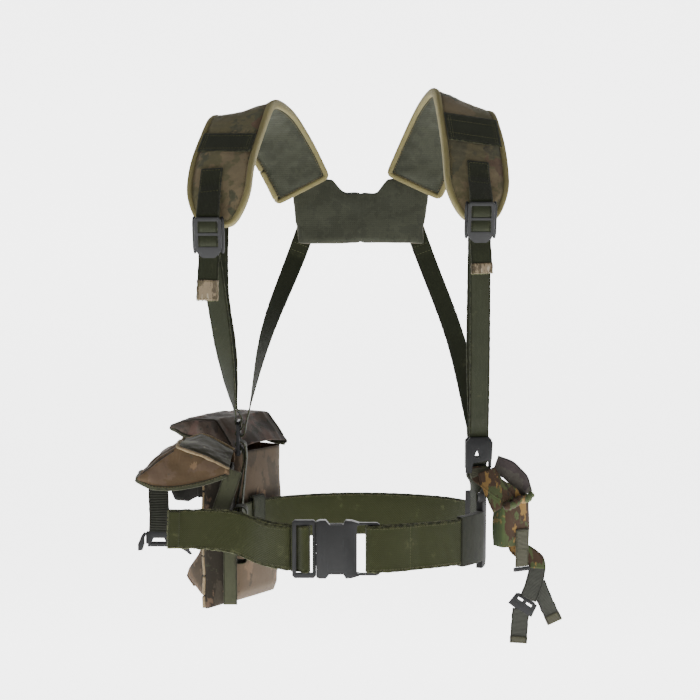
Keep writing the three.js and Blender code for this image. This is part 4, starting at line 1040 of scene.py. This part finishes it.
def build_pads(size):
    """Both shoulder pads with their binding, cross webs and tabs."""
    for side in ("left", "right"):
        foam = strip_path(f"pad_foam_{side}").part(step=0.004)
        cover = points_of(NODES[f"pad_cover_{side}"].data).mean(0)
        outward = 1 if ((cover - foam.at.mean(0)) * foam.out.mean(0)).sum() > 0 else -1
        pad = pad_shape(f"pad_{side}_stuffed", foam, size.pad, "pad")
        filled(pad, size.voxel, 4.0, 0.0012)
        points = points_of(pad.data)
        push(pad, 0.0006 * creases(points, 21, 0.035) + 0.0003 * creases(points, 22, 0.012))
        paint_faces(pad, "lining", nearest_out(points, foam) * outward < 0)
        settle(pad, f"pad_cover_{side}", f"pad_foam_{side}", f"pad_lining_{side}")
        edge = rim(foam, 0.0022).part(step=PAD_STEP, smooth=3)
        tape = tube(f"pad_binding_{side}_tape", edge.at, 0.0052, "binding", BINDING_AROUND, True, 0.80)
        reshape_binding(tape, edge)
        settle(tape, f"pad_binding_{side}")
        row = rim(foam, size.binding + 0.0006).part(step=PAD_STEP, smooth=3)
        stitch = Path(row.at, np.cross(row.way, row.side), 0.001, 0.0094, True)
        sewn(f"pad_binding_{side}_sewing", stitch, (0.0,), size, "harness", "khaki")
        across = web_across(strip_path(f"pad_cross_web_{side}")).part()
        woven(f"pad_cross_web_{side}", across, "strap", 0.0003, 9, 14, 0.0002)
        sewn(f"pad_cross_web_{side}_sewing", across, (-0.0108, 0.0108), size, "harness",
             crossings=(0.06, 0.10, 0.90, 0.94))
        tab = strip_path(f"pad_tab_{side}").part(wider=-0.0014)
        woven(f"pad_tab_{side}", tab, "strap", 0.0, 10, 14, 0.0002)
        start = 0.0 if tab.at[0][2] > tab.at[-1][2] else 1.0
        low, high = (0.02, 0.36) if start == 0 else (0.64, 0.98)
        sewn(f"pad_tab_{side}_sewing", tab, (-0.0115, 0.0115), size, "harness", span=(low, high),
             crossings=(low + 0.005, high - 0.01))
        fray(f"pad_tab_{side}_fray", tab, start, "harness", 46, 0.0016, seed=14)


def nearest_out(points, path):
    """How far each point lies out of a path's surface, at the path's nearest place."""
    reach = np.linalg.norm(points[:, None] - path.at[None], axis=-1)
    near = reach.argmin(1)
    return ((points - path.at[near]) * path.out[near]).sum(1)


def paint_faces(piece, material, chosen):
    """Gives the faces whose points are all chosen another material."""
    piece.data.materials.append(MATERIALS[material])
    index = len(piece.data.materials) - 1
    marks = np.array([all(chosen[v] for v in face.vertices) for face in piece.data.polygons])
    piece.data.polygons.foreach_set("material_index", marks.astype(np.int32) * index)


def reshape_binding(tape, path):
    """Makes the round tape a folded one: flat on both faces of the pad and round over its edge."""
    angle = np.linspace(0, TAU, BINDING_AROUND, endpoint=False)[None]
    c, s = np.cos(angle), np.sin(angle)
    inside = np.cross(path.way, path.side)
    centre = path.at.mean(0)
    sign = np.sign(((centre - path.at) * inside).sum(1))
    inside = inside * np.where(sign == 0, 1, sign)[:, None]
    thick = 0.0056 * (1 + 0.05 * waves(path.along, 31, 0.03))[:, None]
    height = thick * np.sign(s) * np.abs(s) ** 0.6
    reach = -0.0036 * np.sign(c) * np.abs(c) ** 0.7
    grid = path.at[:, None] + height[..., None] * path.side[:, None] + reach[..., None] * inside[:, None]
    tape.data.vertices.foreach_set("co", grid.reshape(-1))
    tape.data.update()


def web_across(path):
    """A cross web's path along its own length, which is the width of the strip that the frame gives."""
    middle = path.values(np.array([path.length / 2]), path.at, path.side, path.half, path.thick)
    at, side, half, thick = (m[0] for m in middle)
    steps = np.linspace(-1, 1, 15)[:, None]
    way = path.way[len(path.way) // 2]
    down = way if way[2] < 0 else -way
    return Path(at + 0.007 * down + steps * side * half, way, path.length / 2 + 0.0035, float(thick[0]))


def build_straps(size):
    """The front and rear straps, their turns and ends, the belt's hangers and the back panel."""
    for side in ("left", "right"):
        front = strip_path(f"front_strap_{side}").part()
        woven(f"front_strap_{side}", front, "strap", 0.0004, 15, 12, 0.0002)
        rear = strip_path(f"rear_strap_{side}").part()
        woven(f"rear_strap_{side}", rear, "strap", 0.0, 16, 12, 0.0002)
        last = 0.93 if rear.at[-1][2] > rear.at[0][2] else 0.07
        rows = last, last - 0.03, last + 0.03
        sewn(f"rear_strap_{side}_sewing", rear, (), size, "harness", crossings=rows)
        wrap = strip_path(f"strap_wrap_{side}").part()
        woven(f"strap_wrap_{side}", wrap, "strap", 0.0, 17, 12, 0.0001)
        tail = strip_path(f"strap_tail_{side}").part()
        woven(f"strap_tail_{side}", tail, "strap", 0.0, 18, 12, 0.0003)
        down = tail.at[-1][2] < tail.at[0][2]
        long = 0.44 if side == "right" else 0.30
        end = tail.part(*((1 - long, 1.0) if down else (0.0, long)), thicker=0.0016, wider=0.0006)
        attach(strip(f"strap_end_{side}_tab", end, "tab", 0.0005, 19, 14, 0.0006), f"strap_end_{side}")
        sewn(f"strap_end_{side}_sewing", end, (-0.0106, 0.0106), size, f"strap_end_{side}", "khaki", 0.002,
             crossings=(0.08, 0.92))
        fray(f"strap_end_{side}_fray", end, 1.0 if down else 0.0, f"strap_end_{side}", 60, 0.0026, seed=20)
        hanger = strip_path(f"connector_hanger_{side}", LOOP_WIDTH).part()
        woven(f"connector_hanger_{side}", hanger, "strap", 0.0, 21)
    panel = filled(copied("back_panel", "back_panel_stuffed", "pad"), size.voxel, 4.0, 0.0025)
    points = points_of(panel.data)
    middle_seam = 0.0016 * np.exp(-(points[:, 0] / 0.003) ** 2)
    push(panel, -0.0008 + 0.0008 * creases(points, 40, 0.05) - middle_seam)
    paint_faces(panel, "lining", points[:, 1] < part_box("back_panel")[0].y + 0.003)
    settle(panel, "back_panel")


def build_front_pouch(size):
    """The front hip pouch with its lid, collar, loop, closing strap and clasp web."""
    place = FRONT_POUCH

    def outline(t):
        near = np.full_like(t, 0.0005)
        far = np.interp(t, [0, 0.06, 1], [0.0345, 0.0370, 0.0365])
        return near, far, -0.080 + t * 0.164, -0.0905 + t * 0.1745

    body = bag("front_pouch_sewn", place, "pouch", outline, 0.0385, 0.08, 51, 0.0009, 0.0014)
    settle(body, "front_pouch_body")
    rows = np.linspace(0.0, 1.0, 60)
    corner = place(0.0348 + 0.0008 * waves(rows * 0.17, 52, 0.05), 0.0356, -0.0885 + rows * 0.165)
    edge = tube("front_pouch_piping", corner, 0.0021, "piping", 8)
    strip_at = place(0.0015, 0.0424, -0.083 + rows * 0.112)
    side_path = Path(strip_at, place.way(-1, 0, 0), 0.0085, 0.0014)
    panel = strip("front_pouch_side_web", side_path, "olive", 0.0003, 53)
    bow = 0.0015 * np.sin(rows * math.pi)
    flap_at = place(-0.004 + 0.020 * (1 - rows), 0.0440 + bow, 0.026 + rows * 0.060)
    flap_path = Path(flap_at, place.way(-1, 0, 0.25), 0.0105, 0.0016)
    flap = strip("front_pouch_side_flap", flap_path, "olive", 0.0006, 54)
    ride_on("harness", edge, panel, flap)
    ridge = [(0.0015, 0.088), (0.030, 0.103), (0.066, 0.1165), (0.088, 0.104), (0.1165, 0.0760)]
    low = [(0.0015, 0.081), (0.030, 0.071), (0.056, 0.0645), (0.076, 0.0620), (0.100, 0.0650),
           (0.1165, 0.0735)]
    cover, grid = lid("front_lid_sewn", place, ridge, low, 0.0452, ("lid", "lid_top"), 55,
                      rise=0.0125, crown=0.002, top_end=0.067, folds=0.0015, thickness=size.cloth)
    settle(cover, "front_pouch_lid")
    x = np.linspace(ridge[0][0], ridge[-1][0], len(grid))
    line = [i for i in range(len(grid)) if x[i] < 0.0675]
    ridge_points = np.concatenate([grid[line, FAR_RIDGE], grid[line[-1], FAR_RIDGE:FRONT_RIDGE:-1],
                                   grid[line[::-1], FRONT_RIDGE]])
    ridge_path = Path(ridge_points, (0, 0, 1), 1, 1).part(step=0.0015, smooth=3)
    lumps = 0.0021 * (1 + 0.18 * waves(ridge_path.along, 56, 0.012))
    cord = tube("front_lid_piping", ridge_path.at, lumps, "piping", 10)
    zigzag = Path(ridge_path.at, (0, 0, 1), 0.002, 0.0044)
    places = np.arange(0.004, zigzag.length - 0.004, 0.0026)
    at, way, side, out = zigzag.values(places, zigzag.at, zigzag.way, zigzag.side, zigzag.out)
    lean = np.where(np.arange(len(places)) % 2 == 0, 1.0, -1.0)[:, None]
    outward = unit(side + out * np.sign(out[:, 1:2]))
    slant = way + lean * np.cross(way, outward)
    stitches = threads("front_lid_zigzag", at + outward * 0.0021, slant, outward, 0.0042, 0.00038, "khaki")
    dart_x = np.linspace(0.070, 0.112, 30)
    rise = np.interp(dart_x, [0.070, 0.088, 0.112], [0.1105, 0.0985, 0.0800])
    dart = tube("front_lid_dart", on_skirt(grid, x, place, dart_x, rise), 0.0009, "seam", 8)
    hem_path = lower_edge(grid, 0.0032, 0.0040)
    hem = strip("front_lid_hem", hem_path, "olive", 0.0, 57, 8)
    sewn("front_lid_hem_sewing", hem_path, (0.0016,), size, "front_lid", "khaki")
    ride_on("front_lid", cord, stitches, dart, hem)
    # The collar and its flap hang below the lid in near-black cloth: part dark cloth, part painted shade for
    # the dark region there.
    collar = copied("front_pouch_collar", "front_collar_folded", "collar")
    filled(collar, 0.0035, 3.0, 0.002)
    points = points_of(collar.data)
    push(collar, -0.0006 + 0.0014 * creases(points, 58, 0.035, (1.5, 1, 0.4)))
    low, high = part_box("front_pouch_collar")
    rows = np.linspace(0, 1, 30)
    fold_at = np.stack([high.x - 0.004 + 0.030 * rows, low.y - 0.0005 + 0.002 * np.sin(rows * math.pi),
                        (low.z + high.z) / 2 + 0.004 + 0.003 * rows], -1)
    fold_path = Path(fold_at, (0, 0, 1), 0.0115, 0.0020).part()
    drape_and_painted_shade = strip("front_collar_flap", fold_path, "collar", 0.0010, 95, 14)
    ride_on("harness", drape_and_painted_shade)
    settle(collar, "front_pouch_collar")
    woven("front_pouch_loop", strip_path("front_pouch_loop", LOOP_WIDTH).part(), "strap", 0.0, 59)
    hang = strip_path("front_lid_strap").part()
    woven("front_lid_strap", hang, "dark", 0.0, 60, 14, 0.0002)
    sewn("front_lid_strap_sewing", hang, (-0.0112, 0.0112), size, "lid_strap", "seam", crossings=(0.18,))
    woven("clasp_web", strip_path("clasp_web").part(), "dark", 0.0, 61)


def build_rear_pouch(size):
    """The rear hip pouch, which sags away from the wearer low down, with its lid and loop."""
    place = REAR_POUCH

    def outline(t):
        near = np.interp(t, [0, 0.06, 0.3, 1], [0.012, 0.005, 0.0005, 0.0005])
        far = np.interp(t, [0, 0.04, 0.09, 0.145, 0.20, 0.30, 0.42, 1],
                        [0.058, 0.074, 0.086, 0.0985, 0.094, 0.076, 0.063, 0.0585])
        return near, far, -0.104 + t * 0.198, -0.110 + t * 0.204

    body = bag("rear_pouch_sewn", place, "bag", outline, 0.0480, 0.08, 71, 0.0016, 0.0022)
    settle(body, "rear_pouch_body")
    rows = np.linspace(0, 1, 60)
    z = -0.092 + rows * 0.18
    far = outline((z + 0.110) / 0.204)[1]
    seams = [tube(f"rear_pouch_seam_{i}", place(far * 0.93, sign * 0.0455, z), 0.0015, "bag", 8)
             for i, sign in enumerate((-1, 1))]
    sweep = np.linspace(-1, 1, 50)
    pleat_at = place(0.0990 - 0.007 * np.abs(sweep) ** 4, 0.045 * sweep, -0.079)
    pleat = tube("rear_pouch_pleat", pleat_at, 0.0014, "seam", 8)
    ride_on("harness", pleat, *seams)
    ridge = [(0.0015, 0.100), (0.033, 0.1355), (0.070, 0.1345), (0.100, 0.1270), (0.1145, 0.1205)]
    low = [(0.0015, 0.0945), (0.030, 0.0965), (0.060, 0.1055), (0.090, 0.1105), (0.1145, 0.1180)]
    cover, grid = lid("rear_lid_sewn", place, ridge, low, 0.0550, ("rear_lid", "rear_lid"), 72,
                      rise=0.0, crown=0.003, top_end=1.0, folds=0.0016, thickness=size.cloth)
    settle(cover, "rear_pouch_lid")
    made = []
    for i, column in enumerate((FRONT_RIDGE, FAR_RIDGE)):
        line = Path(grid[3:-1, column], (0, 0, 1), 1, 1).part(step=0.002, smooth=3)
        made.append(tube(f"rear_lid_piping_{i}", line.at, 0.0017, "seam", 8))
    made.append(strip("rear_lid_hem", lower_edge(grid, 0.0030, 0.0038), "olive", 0.0, 73, 8))
    ride_on("rear_lid", *made)
    woven("rear_pouch_loop", strip_path("rear_pouch_loop", LOOP_WIDTH).part(), "strap", 0.0, 74)


def curve(shares, *corners):
    """Places at shares of a line through corners that stand at 0, 0.4, 0.8 and 1 of it."""
    return np.stack([np.interp(shares, [0, 0.4, 0.8, 1], column) for column in zip(*corners)], -1)


def build_side_pouch(size):
    """The small hanging pouch with its hanger, gathered mouth, tab, lower strap and tails."""
    place = SIDE_POUCH

    def outline(t):
        half = np.full_like(t, 0.0210)
        return -half, half, -0.0605 + t * 0.0515, -0.0558 + t * 0.0600

    body = bag("side_pouch_sewn", place, "woodland", outline, 0.0144, 0.12, 81, 0.0008, 0.0008, 0.0020, 5.0)
    settle(body, "side_pouch_body")
    paint_faces(body, "green", (points_of(body.data) - place.origin) @ place.turn[:, 0] < -0.0185)
    rows = np.linspace(-1, 1, 70)
    gather = 0.0052 * (1 + 0.16 * waves(rows * 0.022, 82, 0.006) - 0.25 * np.abs(rows) ** 6)
    height = -0.0015 + 0.0068 * rows + 0.0015 * waves(rows * 0.02, 83, 0.02)
    mouth_at = place(0.0215 * rows, -0.0150 - 0.002 * (1 - rows ** 2), height)
    mouth = tube("side_pouch_mouth", mouth_at, gather, "woodland", 14)
    push(mouth, 0.0006 * creases(points_of(mouth.data), 84, 0.009))
    flap_at = curve(np.linspace(0, 1, 30), (0.171, 0.004, 0.083), (0.188, 0.0045, 0.077),
                    (0.2035, 0.008, 0.061), (0.209, 0.013, 0.043))
    flap_path = Path(flap_at, (-0.6, -0.05, -0.8), 0.0125, 0.0018).part()
    flap = strip("side_pouch_flap", flap_path, "flap", 0.0008, 85)
    ride_on("side_pouch", mouth, flap)
    hanger = strip_path("side_hanger").part()
    settle(strip("side_hanger_sewn", hanger, "woodland", 0.0, 86, 14, 0.0002), "side_hanger")
    top_first = hanger.at[0][2] > hanger.at[-1][2]
    loop = hanger.part(*((0.0, 0.22) if top_first else (0.78, 1.0)), thicker=0.0010, wider=0.0004)
    cuff = strip("side_hanger_loop", loop, "grey", 0.0, 87, 12, 0.0002)
    sewn("side_hanger_sewing", hanger, (-0.0112, 0.0112), size, "side_pouch", "khaki",
         span=(0.24, 0.98) if top_first else (0.02, 0.76))
    t = np.linspace(0, 1, 40)
    panel_at = curve(t, (0.159, -0.0085, 0.078), (0.1655, -0.0125, 0.062),
                     (0.1765, -0.0145, 0.042), (0.1815, -0.0135, 0.033))
    half = np.interp(t, [0, 0.5, 1], [0.0125, 0.0150, 0.0175])
    panel = Path(panel_at, (0.88, 0.30, 0.36), half, 0.0015).part(smooth=30)
    wide = strip("side_hanger_panel", panel, "woodland", 0.0006, 93, 16, 0.0003)
    ride_on("side_pouch", cuff, wide)
    tab = strip_path("side_pouch_tab").part()
    woven("side_pouch_tab", tab, "grey", 0.0, 88, 12, 0.0002)
    sewn("side_pouch_tab_sewing", tab, (-0.0088, 0.0088), size, "side_tab", crossings=(0.05, 0.45, 0.93))
    long = strip_path("side_strap")
    down = long.at[-1][2] < long.at[0][2]
    upper, lower = ((0.0, 0.52), (0.50, 1.0)) if down else ((0.48, 1.0), (0.0, 0.50))
    settle(strip("side_strap_printed", long.part(*upper, thicker=0.0005), "woodland", 0.0, 89, 12, 0.0003),
           "side_strap")
    grey = strip("side_strap_grey", long.part(*lower), "slate", 0.0, 90, 12, 0.0002)
    ride_on("side_strap_body", grey)
    for node, body in (("side_tail_front", "side_end_front"), ("side_tail_back", "side_end_back")):
        tail = strip_path(node).part()
        woven(node, tail, "slate", 0.0, 91, 12, 0.0003)
        below = tail.at[-1][2] < tail.at[0][2]
        end = tail.part(*((0.80, 1.0) if below else (0.0, 0.20)), thicker=0.0018, wider=0.0003)
        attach(strip(f"{node}_hem", end, "grey", 0.0, 92, 12, 0.0003), body)
        sewn(f"{node}_sewing", end, (), size, body, crossings=(0.15, 0.85))


def build_stage():
    """A pale floor that curves up behind, soft lights, and the camera."""
    u = np.linspace(-4, 4, 41)
    t = np.linspace(0, 1, 61)
    turn = np.clip((t - 0.6) / 0.2, 0, 1) * math.pi / 2
    y = np.where(t < 0.6, -5 + 13 * t, 2.8 + 1.2 * np.sin(turn))
    z = -0.9 + 1.2 * (1 - np.cos(turn)) + np.clip(t - 0.8, 0, 1) * 18
    grid = np.stack([np.broadcast_to(u[None], (61, 41)), np.broadcast_to(y[:, None], (61, 41)),
                     np.broadcast_to(z[:, None], (61, 41))], -1)
    f = Finish("studio_paper", Specular_IOR_Level=0.1)
    f.shader.inputs["Emission Color"].default_value = (1.0, 1.0, 1.0, 1.0)
    f.shader.inputs["Emission Strength"].default_value = 3.4
    tone = f.mix(f.noise(3, 2), (0.86, 0.86, 0.86), (0.9, 0.9, 0.9))
    MATERIALS["paper"] = f.finish(tone, 0.9 + f.noise(4) * 0.05, f.noise(200), 0.0002)
    skin("studio_floor", grid, "paper", no_uv(grid), wrap_columns=False)
    world = bpy.data.worlds.new("Studio")
    world.use_nodes = True
    background = world.node_tree.nodes["Background"]
    background.inputs["Color"].default_value = (1.0, 1.0, 1.0, 1.0)
    background.inputs["Strength"].default_value = 0.2
    bpy.context.scene.world = world
    lights = (("Key", (-1.3, -2.2, 2.2), 17, 1.6), ("Fill", (1.8, -1.8, 1.0), 3, 1.8),
              ("Top", (0, 0.6, 2.4), 6, 1.6), ("Rear", (0.6, 2.2, 1.4), 6, 1.4))
    for name, place, energy, width in lights:
        light = bpy.data.lights.new(name, "AREA")
        light.energy, light.size = energy, width
        lamp = bpy.data.objects.new(name, light)
        lamp.location = place
        toward = Vector((0, 0, 0.2)) - Vector(place)
        lamp.rotation_euler = toward.to_track_quat("-Z", "Y").to_euler()
        bpy.context.scene.collection.objects.link(lamp)
    camera = bpy.data.cameras.new("Camera")
    camera.sensor_width, camera.lens = 36, 81.26
    eye = bpy.data.objects.new("Camera", camera)
    eye.location = (-0.014, -1.99383, 0.38692)
    eye.rotation_euler = (math.radians(85.5), 0, 0)
    bpy.context.scene.collection.objects.link(eye)
    bpy.context.scene.camera = eye


# ---- Operators ----
class HARNESS_OT_materials(bpy.types.Operator):
    """Make the cloths, webbings, threads and plastic"""

    bl_idname = "harness.materials"
    bl_label = "Materials"

    def execute(self, context):
        make_materials(context.scene.harness_colours)
        return {"FINISHED"}


class HARNESS_OT_belt(bpy.types.Operator):
    """Make the belt's webbing, keeper and hip sleeve"""

    bl_idname = "harness.belt"
    bl_label = "Belt"

    def execute(self, context):
        build_belt(context.scene.harness_sizes)
        return {"FINISHED"}


class HARNESS_OT_hardware(bpy.types.Operator):
    """Make the buckles, locks, connectors and clasp"""

    bl_idname = "harness.hardware"
    bl_label = "Buckles and locks"

    def execute(self, context):
        build_hardware()
        return {"FINISHED"}


class HARNESS_OT_pads(bpy.types.Operator):
    """Make the shoulder pads with their binding, webs and tabs"""

    bl_idname = "harness.pads"
    bl_label = "Shoulder pads"

    def execute(self, context):
        build_pads(context.scene.harness_sizes)
        return {"FINISHED"}


class HARNESS_OT_straps(bpy.types.Operator):
    """Make the front and rear straps, hangers and back panel"""

    bl_idname = "harness.straps"
    bl_label = "Straps and back panel"

    def execute(self, context):
        build_straps(context.scene.harness_sizes)
        return {"FINISHED"}


class HARNESS_OT_front_pouch(bpy.types.Operator):
    """Make the front hip pouch with its lid, collar and closing strap"""

    bl_idname = "harness.front_pouch"
    bl_label = "Front pouch"

    def execute(self, context):
        build_front_pouch(context.scene.harness_sizes)
        return {"FINISHED"}


class HARNESS_OT_rear_pouch(bpy.types.Operator):
    """Make the rear hip pouch with its lid"""

    bl_idname = "harness.rear_pouch"
    bl_label = "Rear pouch"

    def execute(self, context):
        build_rear_pouch(context.scene.harness_sizes)
        return {"FINISHED"}


class HARNESS_OT_side_pouch(bpy.types.Operator):
    """Make the small hanging pouch with its straps"""

    bl_idname = "harness.side_pouch"
    bl_label = "Side pouch"

    def execute(self, context):
        build_side_pouch(context.scene.harness_sizes)
        return {"FINISHED"}


class HARNESS_OT_stage(bpy.types.Operator):
    """Make the floor, lights and camera"""

    bl_idname = "harness.stage"
    bl_label = "Stage"

    def execute(self, context):
        build_stage()
        return {"FINISHED"}


OPERATORS = (
    HARNESS_OT_materials, HARNESS_OT_stage, HARNESS_OT_belt, HARNESS_OT_hardware, HARNESS_OT_pads,
    HARNESS_OT_straps, HARNESS_OT_front_pouch, HARNESS_OT_rear_pouch, HARNESS_OT_side_pouch)


class HARNESS_PT_panel(bpy.types.Panel):
    """Lists the harness's operators and settings"""

    bl_idname = "HARNESS_PT_panel"
    bl_label = "Harness"
    bl_space_type = "VIEW_3D"
    bl_region_type = "UI"
    bl_category = "Harness"

    def draw(self, context):
        for operator in OPERATORS:
            self.layout.operator(operator.bl_idname)
        for group in (context.scene.harness_sizes, context.scene.harness_colours):
            for name in type(group).__annotations__:
                self.layout.prop(group, name)


CLASSES = (HarnessColours, HarnessSizes, *OPERATORS, HARNESS_PT_panel)


def register():
    """Adds the operators, the panel and the settings."""
    for one in CLASSES:
        bpy.utils.register_class(one)
    bpy.types.Scene.harness_colours = bpy.props.PointerProperty(type=HarnessColours)
    bpy.types.Scene.harness_sizes = bpy.props.PointerProperty(type=HarnessSizes)


def unregister():
    """Takes them away again."""
    del bpy.types.Scene.harness_colours, bpy.types.Scene.harness_sizes
    for one in reversed(CLASSES):
        bpy.utils.unregister_class(one)


def main():
    """Runs every operator."""
    register()
    for operator in OPERATORS:
        getattr(bpy.ops.harness, operator.bl_idname.split(".")[1])()
    bpy.context.view_layer.update()


if __name__ == "__main__":
    main()
